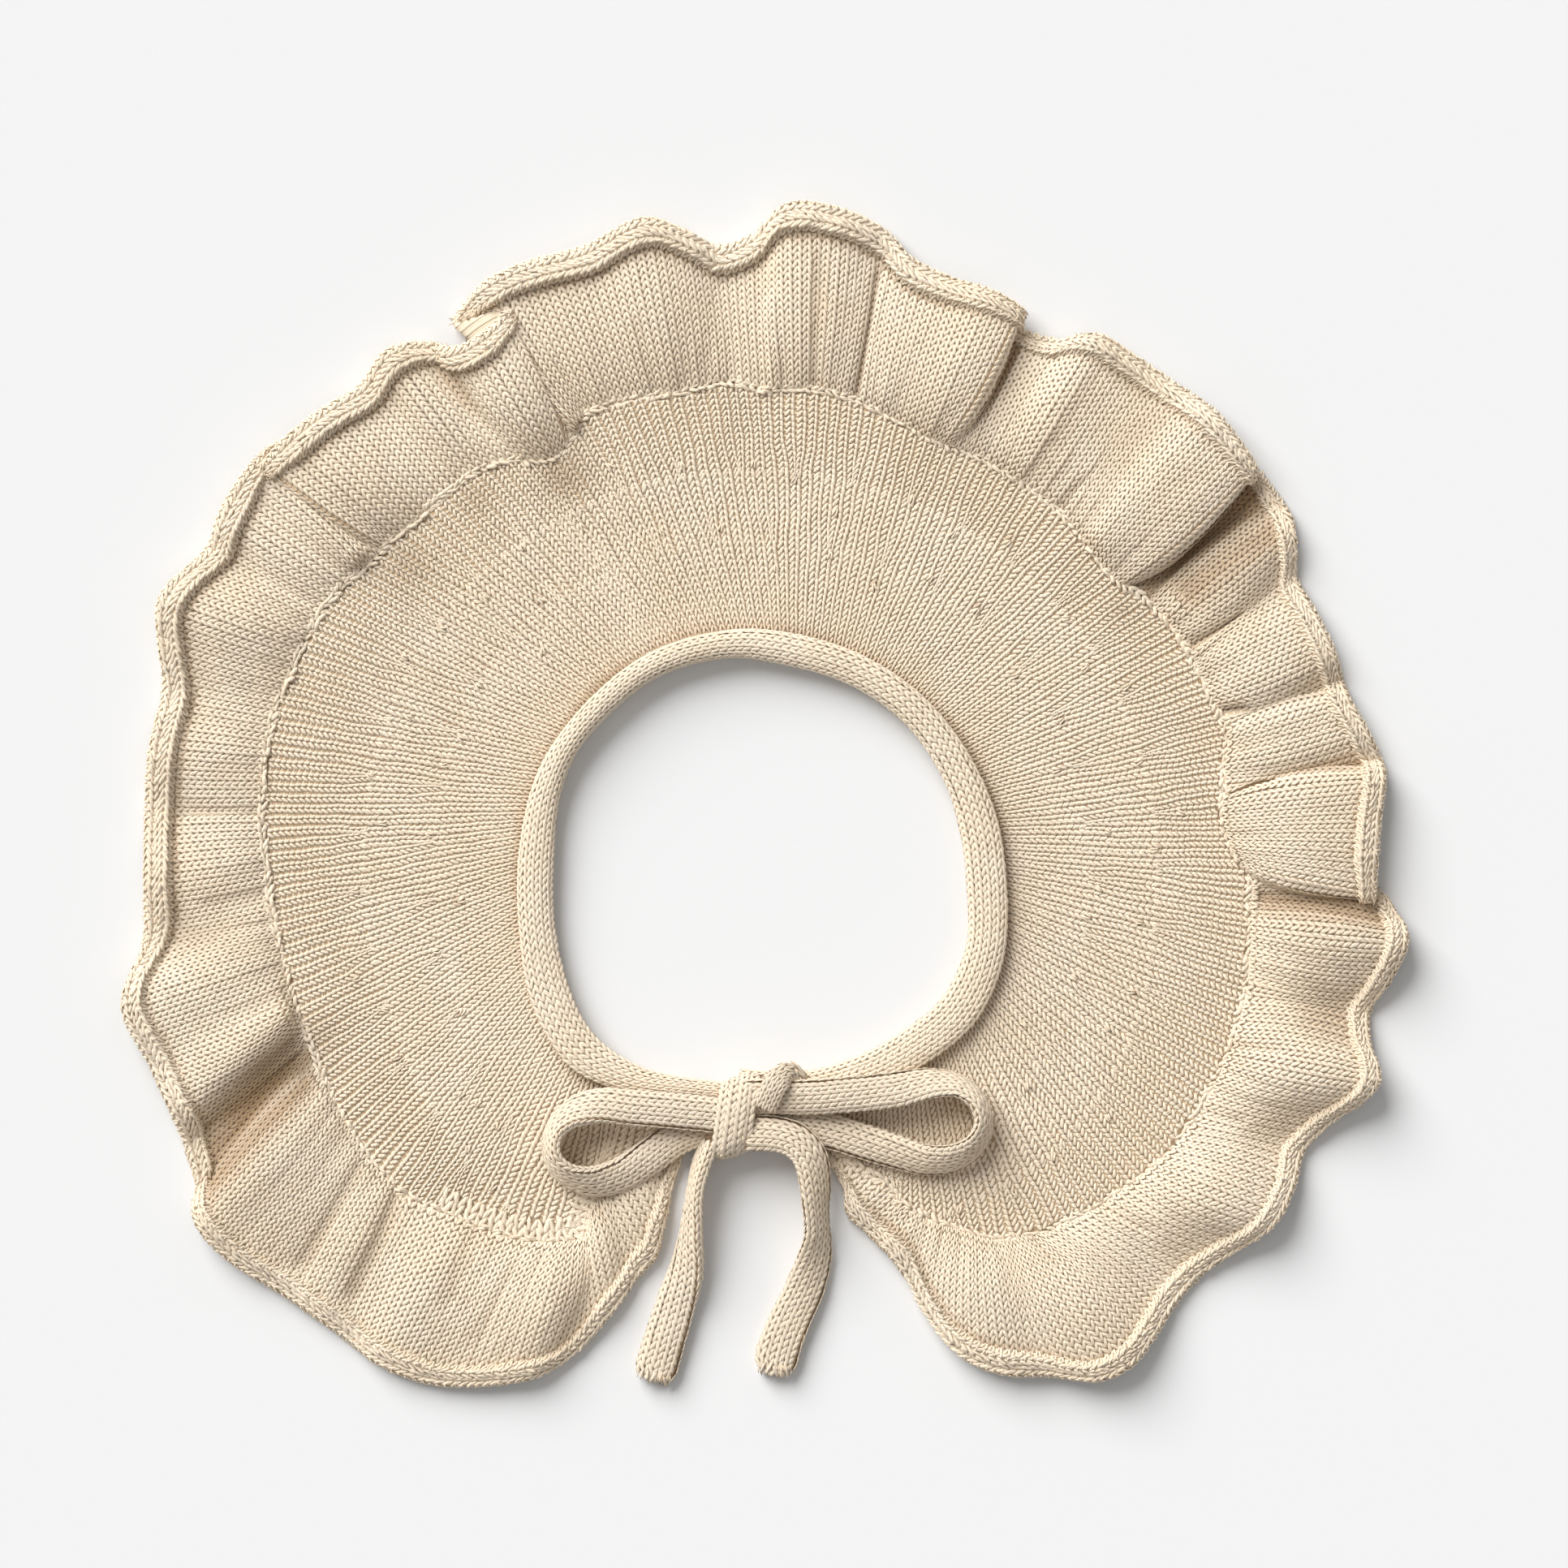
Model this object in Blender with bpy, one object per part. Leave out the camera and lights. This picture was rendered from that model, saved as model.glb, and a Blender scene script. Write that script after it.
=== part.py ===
"""Child's knitted collar with a gathered ruffle, tied at the front and laid flat.

Frame: +X to the wearer's left as the collar is seen from above, +Y towards the back of the neck,
+Z up from the table, which is z = 0. Sizes in the tables are in millimetres and degrees, measured
from the centre of the neck opening, and the solids are made in metres.
"""
import math
from collections import namedtuple

import bmesh
import bpy
from mathutils import Vector

MM = 0.001
UP = Vector((0.0, 0.0, 1.0))

# Where the centre of the neck opening lies in the part's frame, whose origin is under the middle of
# the bounding box of yoke, ruffle and neckband.
NECK_CENTRE = (-0.3, -18.1)

# Cloth
YOKE_WALL = 2.0
RUFFLE_WALL = 1.4
SEAM_GAP = 0.3
SEAM_HEIGHT = 1.0
LAY_GAP = 0.3

# Neckband and ties
BAND_BASE = YOKE_WALL + LAY_GAP
NECK_EDGE_INSET = 1.0
TIE_WIDTH = 8.8
TIE_THICKNESS = 3.8
TIE_SIDES = 10
TIE_POINT_SPACING = 4.5

# How closely the solids follow the curves
HEM_STEP = 6.0
BAND_STEP = 5.5
BAND_SIDES = 10
KNOT_SIDES = 14
# 1 would make the knot's sections round, and less makes them squarer.
KNOT_SQUARENESS = 0.8
ACROSS_RUFFLE = (0.0, 0.12, 0.28, 0.5, 0.72, 0.87)
ACROSS_YOKE = (0.0, 0.34, 0.68, 1.0)

# The hem rolls up on itself over the last part of the ruffle: how far across each point of the roll
# lies, and its share of the roll's height.
HEM_ROLL = ((0.885, 0.35), (0.915, 0.9), (0.95, 1.0), (0.982, 0.72), (1.0, 0.2))

# The hem's lower edge, as a share of the half wall below its middle
HEM_UNDERCUT = 0.6

# How quickly a fold rises from the seam: 1 would be a straight slope.
FOLD_RISE = 2.2

Fold = namedtuple("Fold", "seam_deg seam_mm hem_deg hem_mm crest_mm roll_mm")

# One row for each crest, trough and edge of a fold, anticlockwise from the neck at the right front to
# the neck at the left front. Where the hem angle runs backwards, the cloth doubles over on itself.
FOLDS = [Fold(*row) for row in (
    (-80.5, 58.0, -80.5, 62.5, 0.8, 0.2),
    (-76.5, 69.5, -77.0, 75.0, 1.2, 0.6),
    (-72.0, 77.6, -75.8, 82.5, 2.0, 1.2),
    (-69.0, 83.0, -76.4, 88.0, 1.8, 1.6),
    (-67.6, 89.0, -74.2, 94.4, 0.8, 1.8),
    (-66.2, 92.6, -72.0, 101.0, 1.8, 1.8),
    (-64.8, 95.6, -70.6, 110.0, 0.8, 1.8),
    (-63.0, 99.0, -69.6, 120.0, 1.4, 1.8),
    (-61.0, 102.6, -67.6, 131.4, 3.6, 1.8),
    (-59.0, 106.4, -64.4, 139.0, 4.6, 1.8),
    (-57.2, 108.8, -60.4, 144.6, 3.6, 1.6),
    (-55.4, 110.4, -56.6, 151.6, 6.6, 1.4),
    (-54.0, 112.0, -53.4, 153.0, 7.4, 1.4),
    (-52.6, 113.6, -50.2, 151.2, 4.6, 1.4),
    (-50.4, 114.4, -46.6, 148.8, 1.2, 1.4),
    (-47.0, 116.4, -42.4, 148.4, 0.7, 1.4),
    (-42.8, 118.6, -38.4, 150.8, 3.4, 1.4),
    (-38.6, 121.0, -34.6, 154.0, 8.0, 1.2),
    (-34.8, 122.4, -31.2, 153.4, 5.2, 1.2),
    (-31.0, 122.8, -27.6, 151.4, 0.7, 1.4),
    (-26.6, 123.2, -23.6, 154.4, 3.4, 1.4),
    (-22.0, 123.6, -19.2, 161.0, 9.6, 1.2),
    (-18.0, 123.2, -16.4, 156.6, 4.2, 1.2),
    (-14.4, 122.8, -13.2, 154.6, 0.7, 1.4),
    (-10.4, 121.8, -9.8, 157.8, 5.2, 1.4),
    (-6.6, 121.0, -6.4, 160.2, 9.4, 1.4),
    (-3.6, 120.4, -4.2, 158.6, 6.0, 1.4),
    (-1.2, 120.2, -2.2, 153.0, 0.7, 0.2),
    (0.2, 119.4, -1.4, 151.6, 3.4, 0.0),
    (0.8, 118.2, -2.8, 151.4, 6.8, 0.6),
    (2.6, 115.8, 0.6, 151.6, 8.6, 1.6),
    (5.6, 114.2, 5.0, 153.2, 8.2, 1.6),
    (8.4, 114.6, 8.4, 155.4, 7.2, 1.4),
    (9.6, 115.2, 9.8, 155.6, 1.6, 1.2),
    (12.6, 116.6, 13.0, 153.4, 4.6, 1.4),
    (15.6, 118.8, 16.0, 151.2, 4.2, 1.4),
    (17.8, 118.8, 18.0, 151.0, 0.8, 1.2),
    (20.4, 118.4, 20.8, 151.2, 5.4, 1.4),
    (24.0, 118.0, 24.6, 150.8, 4.6, 1.4),
    (27.0, 117.8, 29.0, 150.8, 0.8, 1.4),
    (31.0, 117.2, 33.0, 156.8, 7.0, 1.4),
    (34.2, 115.8, 36.6, 157.6, 4.0, 1.0),
    (36.2, 114.8, 40.4, 157.2, 0.7, 0.1),
    (37.0, 114.0, 41.0, 157.0, 3.6, 0.0),
    (37.8, 113.2, 39.0, 157.0, 7.2, 0.8),
    (40.0, 112.2, 41.4, 158.0, 9.8, 1.4),
    (44.2, 112.8, 45.8, 158.6, 7.4, 1.6),
    (49.4, 114.2, 51.2, 157.2, 3.2, 1.6),
    (53.4, 114.6, 54.6, 156.6, 4.6, 1.6),
    (57.4, 114.6, 57.8, 156.0, 6.6, 1.6),
    (60.6, 114.6, 60.4, 150.6, 2.6, 1.4),
    (63.4, 114.4, 63.6, 148.4, 0.7, 0.8),
    (65.0, 114.2, 67.2, 150.0, 0.7, 0.1),
    (65.8, 114.0, 67.8, 151.2, 3.6, 0.0),
    (66.5, 114.0, 65.2, 152.4, 7.0, 0.8),
    (68.6, 114.0, 68.0, 153.6, 8.8, 1.6),
    (72.6, 115.2, 72.4, 153.4, 5.8, 1.8),
    (76.0, 116.6, 76.4, 155.6, 4.2, 2.0),
    (78.6, 117.6, 79.0, 160.6, 2.2, 2.0),
    (82.4, 118.8, 83.4, 164.4, 5.8, 2.2),
    (86.6, 118.6, 87.8, 164.8, 5.8, 2.2),
    (90.0, 118.2, 90.4, 158.0, 1.8, 2.2),
    (94.0, 120.2, 94.4, 155.0, 0.7, 2.2),
    (97.2, 120.0, 97.4, 159.6, 4.4, 2.2),
    (100.4, 119.2, 100.4, 163.6, 7.0, 2.2),
    (105.4, 120.2, 106.0, 160.4, 4.6, 2.2),
    (110.6, 120.6, 112.0, 161.2, 4.8, 2.0),
    (112.6, 119.2, 115.8, 160.4, 2.2, 1.6),
    (113.8, 117.0, 119.2, 156.8, 0.7, 0.1),
    (114.4, 116.0, 119.6, 155.4, 3.6, 0.0),
    (115.0, 115.0, 114.8, 152.4, 7.0, 0.8),
    (117.0, 114.0, 117.6, 149.4, 9.6, 1.8),
    (119.6, 115.8, 120.6, 149.8, 7.2, 1.8),
    (121.8, 118.8, 122.4, 154.4, 1.6, 1.8),
    (125.8, 121.0, 126.0, 158.8, 3.8, 2.0),
    (129.6, 121.2, 129.8, 156.2, 1.4, 2.0),
    (134.0, 121.4, 134.2, 158.0, 5.6, 2.0),
    (138.2, 122.4, 138.4, 159.2, 8.6, 2.0),
    (140.0, 122.4, 141.2, 159.4, 6.8, 0.8),
    (140.7, 122.5, 138.6, 159.8, 3.5, 0.0),
    (141.4, 122.6, 139.4, 161.0, 0.7, 0.1),
    (144.0, 124.0, 143.6, 161.8, 2.6, 1.8),
    (147.0, 125.4, 146.8, 161.0, 3.8, 2.0),
    (149.6, 126.2, 150.0, 159.4, 1.2, 2.0),
    (154.6, 126.4, 155.8, 163.8, 7.0, 2.0),
    (158.2, 126.6, 159.2, 160.4, 3.8, 2.0),
    (162.0, 126.8, 163.2, 155.6, 0.7, 2.0),
    (167.6, 126.2, 169.0, 155.0, 3.4, 2.0),
    (173.4, 124.8, 174.8, 154.0, 0.8, 2.0),
    (179.4, 123.0, 181.0, 153.4, 4.4, 2.0),
    (185.6, 121.8, 187.0, 155.0, 1.0, 2.0),
    (190.4, 121.2, 192.2, 162.2, 8.0, 1.6),
    (196.4, 120.8, 198.0, 159.4, 5.2, 1.6),
    (199.6, 120.0, 203.8, 158.6, 0.8, 1.6),
    (201.6, 120.0, 207.4, 160.4, 1.8, 1.6),
    (204.8, 120.4, 211.8, 165.6, 9.4, 1.4),
    (210.0, 121.0, 216.2, 164.2, 6.4, 1.4),
    (215.6, 121.0, 221.4, 159.4, 2.6, 1.4),
    (219.6, 120.4, 225.2, 157.2, 3.4, 1.4),
    (223.6, 118.8, 228.4, 156.2, 1.2, 1.4),
    (229.0, 114.6, 232.6, 155.4, 4.8, 1.4),
    (235.0, 110.8, 237.4, 151.8, 3.6, 1.4),
    (239.6, 107.0, 241.6, 145.6, 4.6, 1.4),
    (242.6, 103.4, 245.0, 139.6, 6.2, 1.4),
    (244.1, 100.6, 247.4, 133.4, 2.0, 1.4),
    (243.9, 97.6, 249.4, 126.0, 0.8, 1.4),
    (243.4, 93.6, 251.2, 115.6, 2.6, 1.4),
    (243.3, 89.6, 252.8, 106.8, 0.9, 1.4),
    (243.9, 85.0, 254.4, 100.4, 2.0, 1.4),
    (244.9, 80.0, 254.2, 94.0, 3.0, 1.4),
    (246.3, 74.0, 253.7, 86.6, 1.4, 1.2),
    (248.2, 67.6, 254.0, 77.6, 0.9, 0.8),
    (250.4, 59.6, 253.6, 64.0, 0.8, 0.2),
)]

Band = namedtuple("Band", "deg radius_mm width_mm height_mm")

# The neckband, anticlockwise from the knot's right face to its left face.
BANDS = [Band(*row) for row in (
    (-91.2, 53.4, 7.4, 3.8),
    (-80.0, 55.0, 8.4, 3.8),
    (-65.0, 56.2, 9.4, 3.8),
    (-50.0, 57.6, 10.0, 3.8),
    (-35.0, 59.4, 10.2, 3.8),
    (-20.0, 58.2, 9.8, 3.8),
    (-5.0, 55.2, 10.0, 3.8),
    (10.0, 54.1, 9.8, 3.8),
    (25.0, 53.7, 8.8, 4.2),
    (45.0, 53.8, 8.0, 4.6),
    (65.0, 53.9, 8.0, 4.8),
    (85.0, 54.5, 8.0, 5.0),
    (100.0, 56.0, 6.8, 5.4),
    (120.0, 57.0, 6.2, 5.6),
    (145.0, 57.1, 6.0, 5.6),
    (160.0, 56.9, 7.2, 5.0),
    (180.0, 56.2, 8.8, 4.4),
    (195.0, 57.8, 9.0, 4.0),
    (210.0, 61.0, 10.0, 3.8),
    (225.0, 63.4, 9.8, 3.8),
    (238.0, 61.2, 7.5, 3.8),
    (248.0, 58.0, 5.5, 4.2),
    (256.6, 56.2, 4.6, 4.4),
)]

Fan = namedtuple("Fan", "seam_share neck_share")

# Which place on the neck edge each place on the seam is knitted from, as shares of their lengths.
# Near the fronts the columns of stitches run straight down instead of fanning out.
FANS = [Fan(*row) for row in (
    (0.0, 0.0),
    (0.042, 0.071),
    (0.075, 0.113),
    (0.117, 0.143),
    (0.3, 0.305),
    (0.5, 0.505),
    (0.7, 0.7),
    (0.875, 0.87),
    (0.905, 0.914),
    (0.94, 0.944),
    (1.0, 1.0),
)]

Turn = namedtuple("Turn", "x_mm y_mm z_mm tilt_deg")

# Routes of the ties, from the knot outwards. The tilt turns the flat tie up on its edge.
LOOP_LEFT = [Turn(*row) for row in (
    (-12.8, -60.4, 8.9, 0),
    (-20.2, -59.6, 8.9, 0),
    (-31.4, -58.8, 8.9, 4),
    (-40.6, -58.2, 8.8, 22),
    (-47.6, -60.4, 7.8, 48),
    (-51.6, -64.8, 7.4, 68),
    (-52.2, -70.0, 7.6, 70),
    (-49.2, -74.6, 7.2, 58),
    (-42.6, -77.0, 6.4, 38),
    (-35.2, -75.4, 5.6, 20),
    (-28.2, -71.0, 4.9, 6),
    (-22.0, -66.6, 4.6, 0),
    (-17.6, -64.6, 4.5, 0),
    (-13.2, -64.0, 4.4, 0),
)]
LOOP_RIGHT = [Turn(*row) for row in (
    (-1.4, -55.9, 8.8, 10),
    (8.6, -56.0, 8.9, 8),
    (15.8, -55.8, 8.9, 4),
    (23.2, -55.2, 8.8, 0),
    (33.0, -54.2, 8.6, -14),
    (41.6, -52.8, 7.8, -44),
    (48.0, -53.6, 7.4, -62),
    (52.6, -57.4, 7.6, -70),
    (54.2, -62.0, 7.6, -70),
    (52.4, -67.2, 7.2, -60),
    (47.4, -70.8, 6.6, -46),
    (40.2, -71.6, 6.0, -36),
    (31.8, -69.4, 5.3, -20),
    (23.2, -66.8, 4.7, -6),
    (14.8, -64.4, 4.5, 0),
    (6.8, -63.4, 4.4, 0),
    (-1.4, -63.2, 4.4, 0),
)]
TAIL_LEFT = [Turn(*row) for row in (
    (-14.2, -69.4, 5.6, 68),
    (-15.4, -73.0, 5.6, 70),
    (-16.4, -77.0, 5.4, 74),
    (-17.2, -82.0, 5.2, 72),
    (-18.0, -90.0, 4.6, 58),
    (-19.2, -99.2, 3.2, 28),
    (-21.6, -107.2, 2.3, 6),
    (-24.4, -116.4, 2.1, 0),
    (-27.0, -125.0, 2.1, 0),
)]
TAIL_RIGHT = [Turn(*row) for row in (
    (-1.4, -65.0, 8.9, -12),
    (3.4, -65.2, 8.9, -12),
    (7.8, -66.8, 8.9, -14),
    (11.0, -70.2, 8.7, -20),
    (12.4, -75.4, 8.0, -32),
    (12.8, -84.0, 6.4, -52),
    (13.0, -90.0, 5.2, -52),
    (12.4, -96.2, 3.6, -28),
    (10.0, -104.0, 2.3, -6),
    (6.6, -111.4, 2.1, 0),
    (3.4, -120.0, 2.1, 0),
    (2.8, -123.4, 2.1, 0),
)]
TIE_OVER = [Turn(*row) for row in (
    (-1.2, -49.4, 7.5, 0),
    (1.6, -48.4, 7.7, 0),
    (4.6, -47.4, 7.8, 0),
    (8.2, -48.6, 7.5, 0),
)]
TIE_OVER_SCALE = 0.56

Wrap = namedtuple("Wrap", "x_mm y_mm half_y_mm low_mm high_mm")

# Sections of the knot, from its left face to its right face.
KNOT = [Wrap(*row) for row in (
    (-12.0, -62.2, 7.6, 1.6, 10.2),
    (-11.2, -62.0, 9.2, 0.6, 11.3),
    (-8.6, -61.4, 10.1, 0.3, 12.0),
    (-5.6, -60.6, 10.2, 0.3, 12.1),
    (-3.0, -60.0, 9.6, 0.6, 11.6),
    (-2.0, -59.7, 8.4, 1.4, 10.8),
)]

# Finish: linear colour and roughness
CREAM = (0.68, 0.57, 0.43, 1.0)
CREAM_LIGHT = (0.72, 0.61, 0.47, 1.0)
ROUGHNESS = 0.92


def clear_scene():
    """Remove every object, so that the script starts from an empty scene."""
    for item in list(bpy.data.objects):
        bpy.data.objects.remove(item, do_unlink=True)


def new_collection(name):
    """Return a new collection in the scene."""
    collection = bpy.data.collections.new(name)
    bpy.context.scene.collection.children.link(collection)
    return collection


def cloth_material(name, colour):
    """Return a matt cotton finish."""
    material = bpy.data.materials.new(name)
    material.use_nodes = True
    shader = material.node_tree.nodes["Principled BSDF"]
    shader.inputs["Base Color"].default_value = colour
    shader.inputs["Roughness"].default_value = ROUGHNESS
    shader.inputs["Metallic"].default_value = 0.0
    return material


def polar(degrees, radius, height=0.0):
    """Return the point at an angle and distance from the centre of the neck."""
    angle = math.radians(degrees)
    return Vector((radius * math.cos(angle), radius * math.sin(angle), height))


def spline_point(points, place):
    """Return a point on the centripetal Catmull-Rom curve through the points.

    A place of 3.25 lies a quarter of the way from points[3] to points[4].
    """
    last = len(points) - 1
    if place >= last:
        return points[last].copy()
    index = int(place)
    share = place - index
    if share == 0.0:
        return points[index].copy()
    start = points[index]
    end = points[index + 1]
    before = points[index - 1] if index > 0 else start * 2 - end
    after = points[index + 2] if index + 2 <= last else end * 2 - start
    knots = [0.0]
    for a, b in ((before, start), (start, end), (end, after)):
        knots.append(knots[-1] + max(math.sqrt((b - a).length), 1e-4))
    at = knots[1] + share * (knots[2] - knots[1])

    def blend(a, b, low, high):
        return a * ((high - at) / (high - low)) + b * ((at - low) / (high - low))

    a1 = blend(before, start, knots[0], knots[1])
    a2 = blend(start, end, knots[1], knots[2])
    a3 = blend(end, after, knots[2], knots[3])
    b1 = blend(a1, a2, knots[0], knots[2])
    b2 = blend(a2, a3, knots[1], knots[3])
    return blend(b1, b2, knots[1], knots[2])


def interpolate(rows, value):
    """Return the second column of two-column rows at a value of the first."""
    for low, high in zip(rows, rows[1:]):
        if value <= high[0]:
            share = (value - low[0]) / (high[0] - low[0])
            return low[1] + (high[1] - low[1]) * share
    return rows[-1][1]


def fold_point(fold, across):
    """Return a point of a fold's middle line, from the seam (0) to the hem (1)."""
    seam = polar(fold.seam_deg, fold.seam_mm, SEAM_HEIGHT)
    hem = polar(fold.hem_deg, fold.hem_mm - RUFFLE_WALL / 2, fold.crest_mm)
    point = seam.lerp(hem, across)
    rise = 1.0 - (1.0 - across) ** FOLD_RISE
    point.z = SEAM_HEIGHT + (fold.crest_mm - SEAM_HEIGHT) * rise
    return point


def fold_places():
    """Return the places along the ruffle at which its sections are taken."""
    hems = [fold_point(fold, 1.0) for fold in FOLDS]
    places = []
    for index in range(len(hems) - 1):
        length = (hems[index + 1] - hems[index]).length
        steps = max(2, round(length / HEM_STEP))
        places += [index + step / steps for step in range(steps)]
    places.append(float(len(hems) - 1))
    return places


def seam_edge(places, shift):
    """Return the seam line at the places, moved outwards in plan by the shift."""
    seams = [polar(fold.seam_deg, fold.seam_mm) for fold in FOLDS]
    line = [spline_point(seams, place) for place in places]
    edge = []
    for index, point in enumerate(line):
        along = line[min(index + 1, len(line) - 1)] - line[max(index - 1, 0)]
        edge.append(point + Vector((along.y, -along.x, 0.0)).normalized() * shift)
    return edge


def ruffle_lines(places, levels):
    """Return the ruffle's middle surface: for each level across, its points along the places."""
    lines = [[point + UP * SEAM_HEIGHT for point in seam_edge(places, SEAM_GAP / 2)]]
    for level in levels[1:]:
        row_points = [fold_point(fold, level) for fold in FOLDS]
        lines.append([spline_point(row_points, place) for place in places])
    return lines


def grid_normals(lines):
    """Return the normal at each point of a grid of lines, straight up along the seam."""
    normals = [[UP] * len(lines[0])]
    rows = len(lines)
    columns = len(lines[0])
    for row in range(1, rows):
        line = []
        for column in range(columns):
            along = lines[row][min(column + 1, columns - 1)] - lines[row][max(column - 1, 0)]
            across = lines[min(row + 1, rows - 1)][column] - lines[row - 1][column]
            line.append(across.cross(along).normalized())
        normals.append(line)
    return normals


def roll_heights(places):
    """Return the height of the hem's roll at each place."""
    heights = [Vector((fold.roll_mm, 0.0, 0.0)) for fold in FOLDS]
    values = []
    for place in places:
        index = min(int(place), len(FOLDS) - 2)
        values.append(heights[index].lerp(heights[index + 1], place - index).x)
    return values


def above_table(point):
    """Return the point, lifted to the table where it lies below it."""
    return Vector((point.x, point.y, max(point.z, 0.0)))


def ruffle_rings(places):
    """Return the ruffle's closed sections, seam to hem over the top and back underneath."""
    roll_levels = [level for level, share in HEM_ROLL]
    levels = list(ACROSS_RUFFLE) + roll_levels
    lines = ruffle_lines(places, levels)
    normals = grid_normals(lines)
    rolls = roll_heights(places)
    half = RUFFLE_WALL / 2
    flat_count = len(ACROSS_RUFFLE)
    rings = []
    for column in range(len(places)):
        ring = [lines[row][column] + normals[row][column] * half for row in range(flat_count)]
        for step, (level, share) in enumerate(HEM_ROLL):
            row = flat_count + step
            height = half + rolls[column] * share
            ring.append(lines[row][column] + normals[row][column] * height)
        end = len(levels) - 1
        ring.append(lines[end][column] - normals[end][column] * half * HEM_UNDERCUT)
        for row in reversed(range(flat_count)):
            ring.append(lines[row][column] - normals[row][column] * half)
        rings.append([above_table(point) for point in ring])
    return rings


def neck_point(share, inset=0.0):
    """Return a point on the yoke's neck edge, at a share of the way from right front to left."""
    start = FOLDS[0].seam_deg
    end = FOLDS[-1].seam_deg
    degrees = start + (end - start) * share
    radii = [(band.deg, band.radius_mm) for band in BANDS]
    return polar(degrees, interpolate(radii, degrees) - NECK_EDGE_INSET - inset)


def yoke_rings(places):
    """Return the yoke's closed sections, neck to seam over the top and back underneath."""
    edges = seam_edge(places, -SEAM_GAP / 2)
    lengths = [0.0]
    for a, b in zip(edges, edges[1:]):
        lengths.append(lengths[-1] + (b - a).length)
    rings = []
    for edge, length in zip(edges, lengths):
        neck = neck_point(interpolate(FANS, length / lengths[-1]))
        ring = [neck.lerp(edge, level) + UP * YOKE_WALL for level in ACROSS_YOKE]
        ring += [edge, neck]
        rings.append(ring)
    return rings


def band_rings():
    """Return the neckband's sections, flattened ovals that stand on the yoke's neck edge."""
    middles = [polar(band.deg, band.radius_mm, BAND_BASE + band.height_mm / 2) for band in BANDS]
    sizes = [Vector((band.width_mm, band.height_mm, 0.0)) for band in BANDS]
    rings = []
    for index in range(len(BANDS) - 1):
        steps = max(2, round((middles[index + 1] - middles[index]).length / BAND_STEP))
        last = 1 if index == len(BANDS) - 2 else 0
        for step in range(steps + last):
            place = index + step / steps
            middle = spline_point(middles, place)
            size = spline_point(sizes, place)
            outwards = Vector((middle.x, middle.y, 0.0)).normalized()
            ring = []
            for side in range(BAND_SIDES):
                angle = 2 * math.pi * side / BAND_SIDES
                across = outwards * (math.cos(angle) * size.x / 2)
                ring.append(middle + across + UP * (math.sin(angle) * size.y / 2))
            rings.append(ring)
    return rings


def knot_rings():
    """Return the knot's sections, rounded blocks across the ties."""
    rings = []
    for wrap in KNOT:
        middle = (wrap.low_mm + wrap.high_mm) / 2
        half_z = (wrap.high_mm - wrap.low_mm) / 2
        ring = []
        for side in range(KNOT_SIDES):
            angle = 2 * math.pi * side / KNOT_SIDES
            y = math.copysign(abs(math.cos(angle)) ** KNOT_SQUARENESS, math.cos(angle))
            z = math.copysign(abs(math.sin(angle)) ** KNOT_SQUARENESS, math.sin(angle))
            ring.append(Vector((wrap.x_mm, wrap.y_mm + y * wrap.half_y_mm, middle + z * half_z)))
        rings.append(ring)
    return rings


def place_in_frame(point):
    """Return a point of the tables, in metres in the part's frame."""
    return Vector((point.x + NECK_CENTRE[0], point.y + NECK_CENTRE[1], point.z)) * MM


def loft(name, rings, material, collection):
    """Make one closed body through rings that all have the same number of points."""
    mesh = bpy.data.meshes.new(name)
    work = bmesh.new()
    rows = [[work.verts.new(place_in_frame(point)) for point in ring] for ring in rings]
    count = len(rings[0])
    for low, high in zip(rows, rows[1:]):
        for side in range(count):
            after = (side + 1) % count
            work.faces.new((low[side], low[after], high[after], high[side]))
    work.faces.new(rows[0])
    work.faces.new(rows[-1])
    bmesh.ops.recalc_face_normals(work, faces=work.faces)
    work.to_mesh(mesh)
    work.free()
    mesh.shade_smooth()
    mesh.materials.append(material)
    body = bpy.data.objects.new(name, mesh)
    collection.objects.link(body)
    return body


def tie_section(collection):
    """Make the flattened oval that the ties are drawn with."""
    curve = bpy.data.curves.new("tie_section", "CURVE")
    curve.dimensions = "2D"
    curve.fill_mode = "NONE"
    spline = curve.splines.new("POLY")
    spline.points.add(TIE_SIDES - 1)
    for side, point in enumerate(spline.points):
        angle = 2 * math.pi * side / TIE_SIDES
        x = math.cos(angle) * TIE_WIDTH / 2 * MM
        y = -math.sin(angle) * TIE_THICKNESS / 2 * MM
        point.co = (x, y, 0.0, 1.0)
    spline.use_cyclic_u = True
    section = bpy.data.objects.new("tie_section", curve)
    section.hide_render = True
    section.display_type = "WIRE"
    collection.objects.link(section)
    return section


def tie(name, turns, scale, section, material, collection):
    """Make one stretch of tie: a flat tube along a smooth curve through the turns."""
    route = [Vector((turn.x_mm, turn.y_mm, turn.z_mm)) for turn in turns]
    length = sum((b - a).length for a, b in zip(route, route[1:]))
    count = max(4, round(length / TIE_POINT_SPACING))
    curve = bpy.data.curves.new(name, "CURVE")
    curve.dimensions = "3D"
    curve.twist_mode = "Z_UP"
    curve.bevel_mode = "OBJECT"
    curve.bevel_object = section
    curve.use_fill_caps = True
    spline = curve.splines.new("POLY")
    spline.points.add(count)
    tilts = [(index, turn.tilt_deg) for index, turn in enumerate(turns)]
    for step, point in enumerate(spline.points):
        place = step / count * (len(turns) - 1)
        location = place_in_frame(spline_point(route, place))
        point.co = (*location, 1.0)
        point.tilt = math.radians(interpolate(tilts, place))
        point.radius = scale
    curve.materials.append(material)
    body = bpy.data.objects.new(name, curve)
    collection.objects.link(body)
    return body


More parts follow.
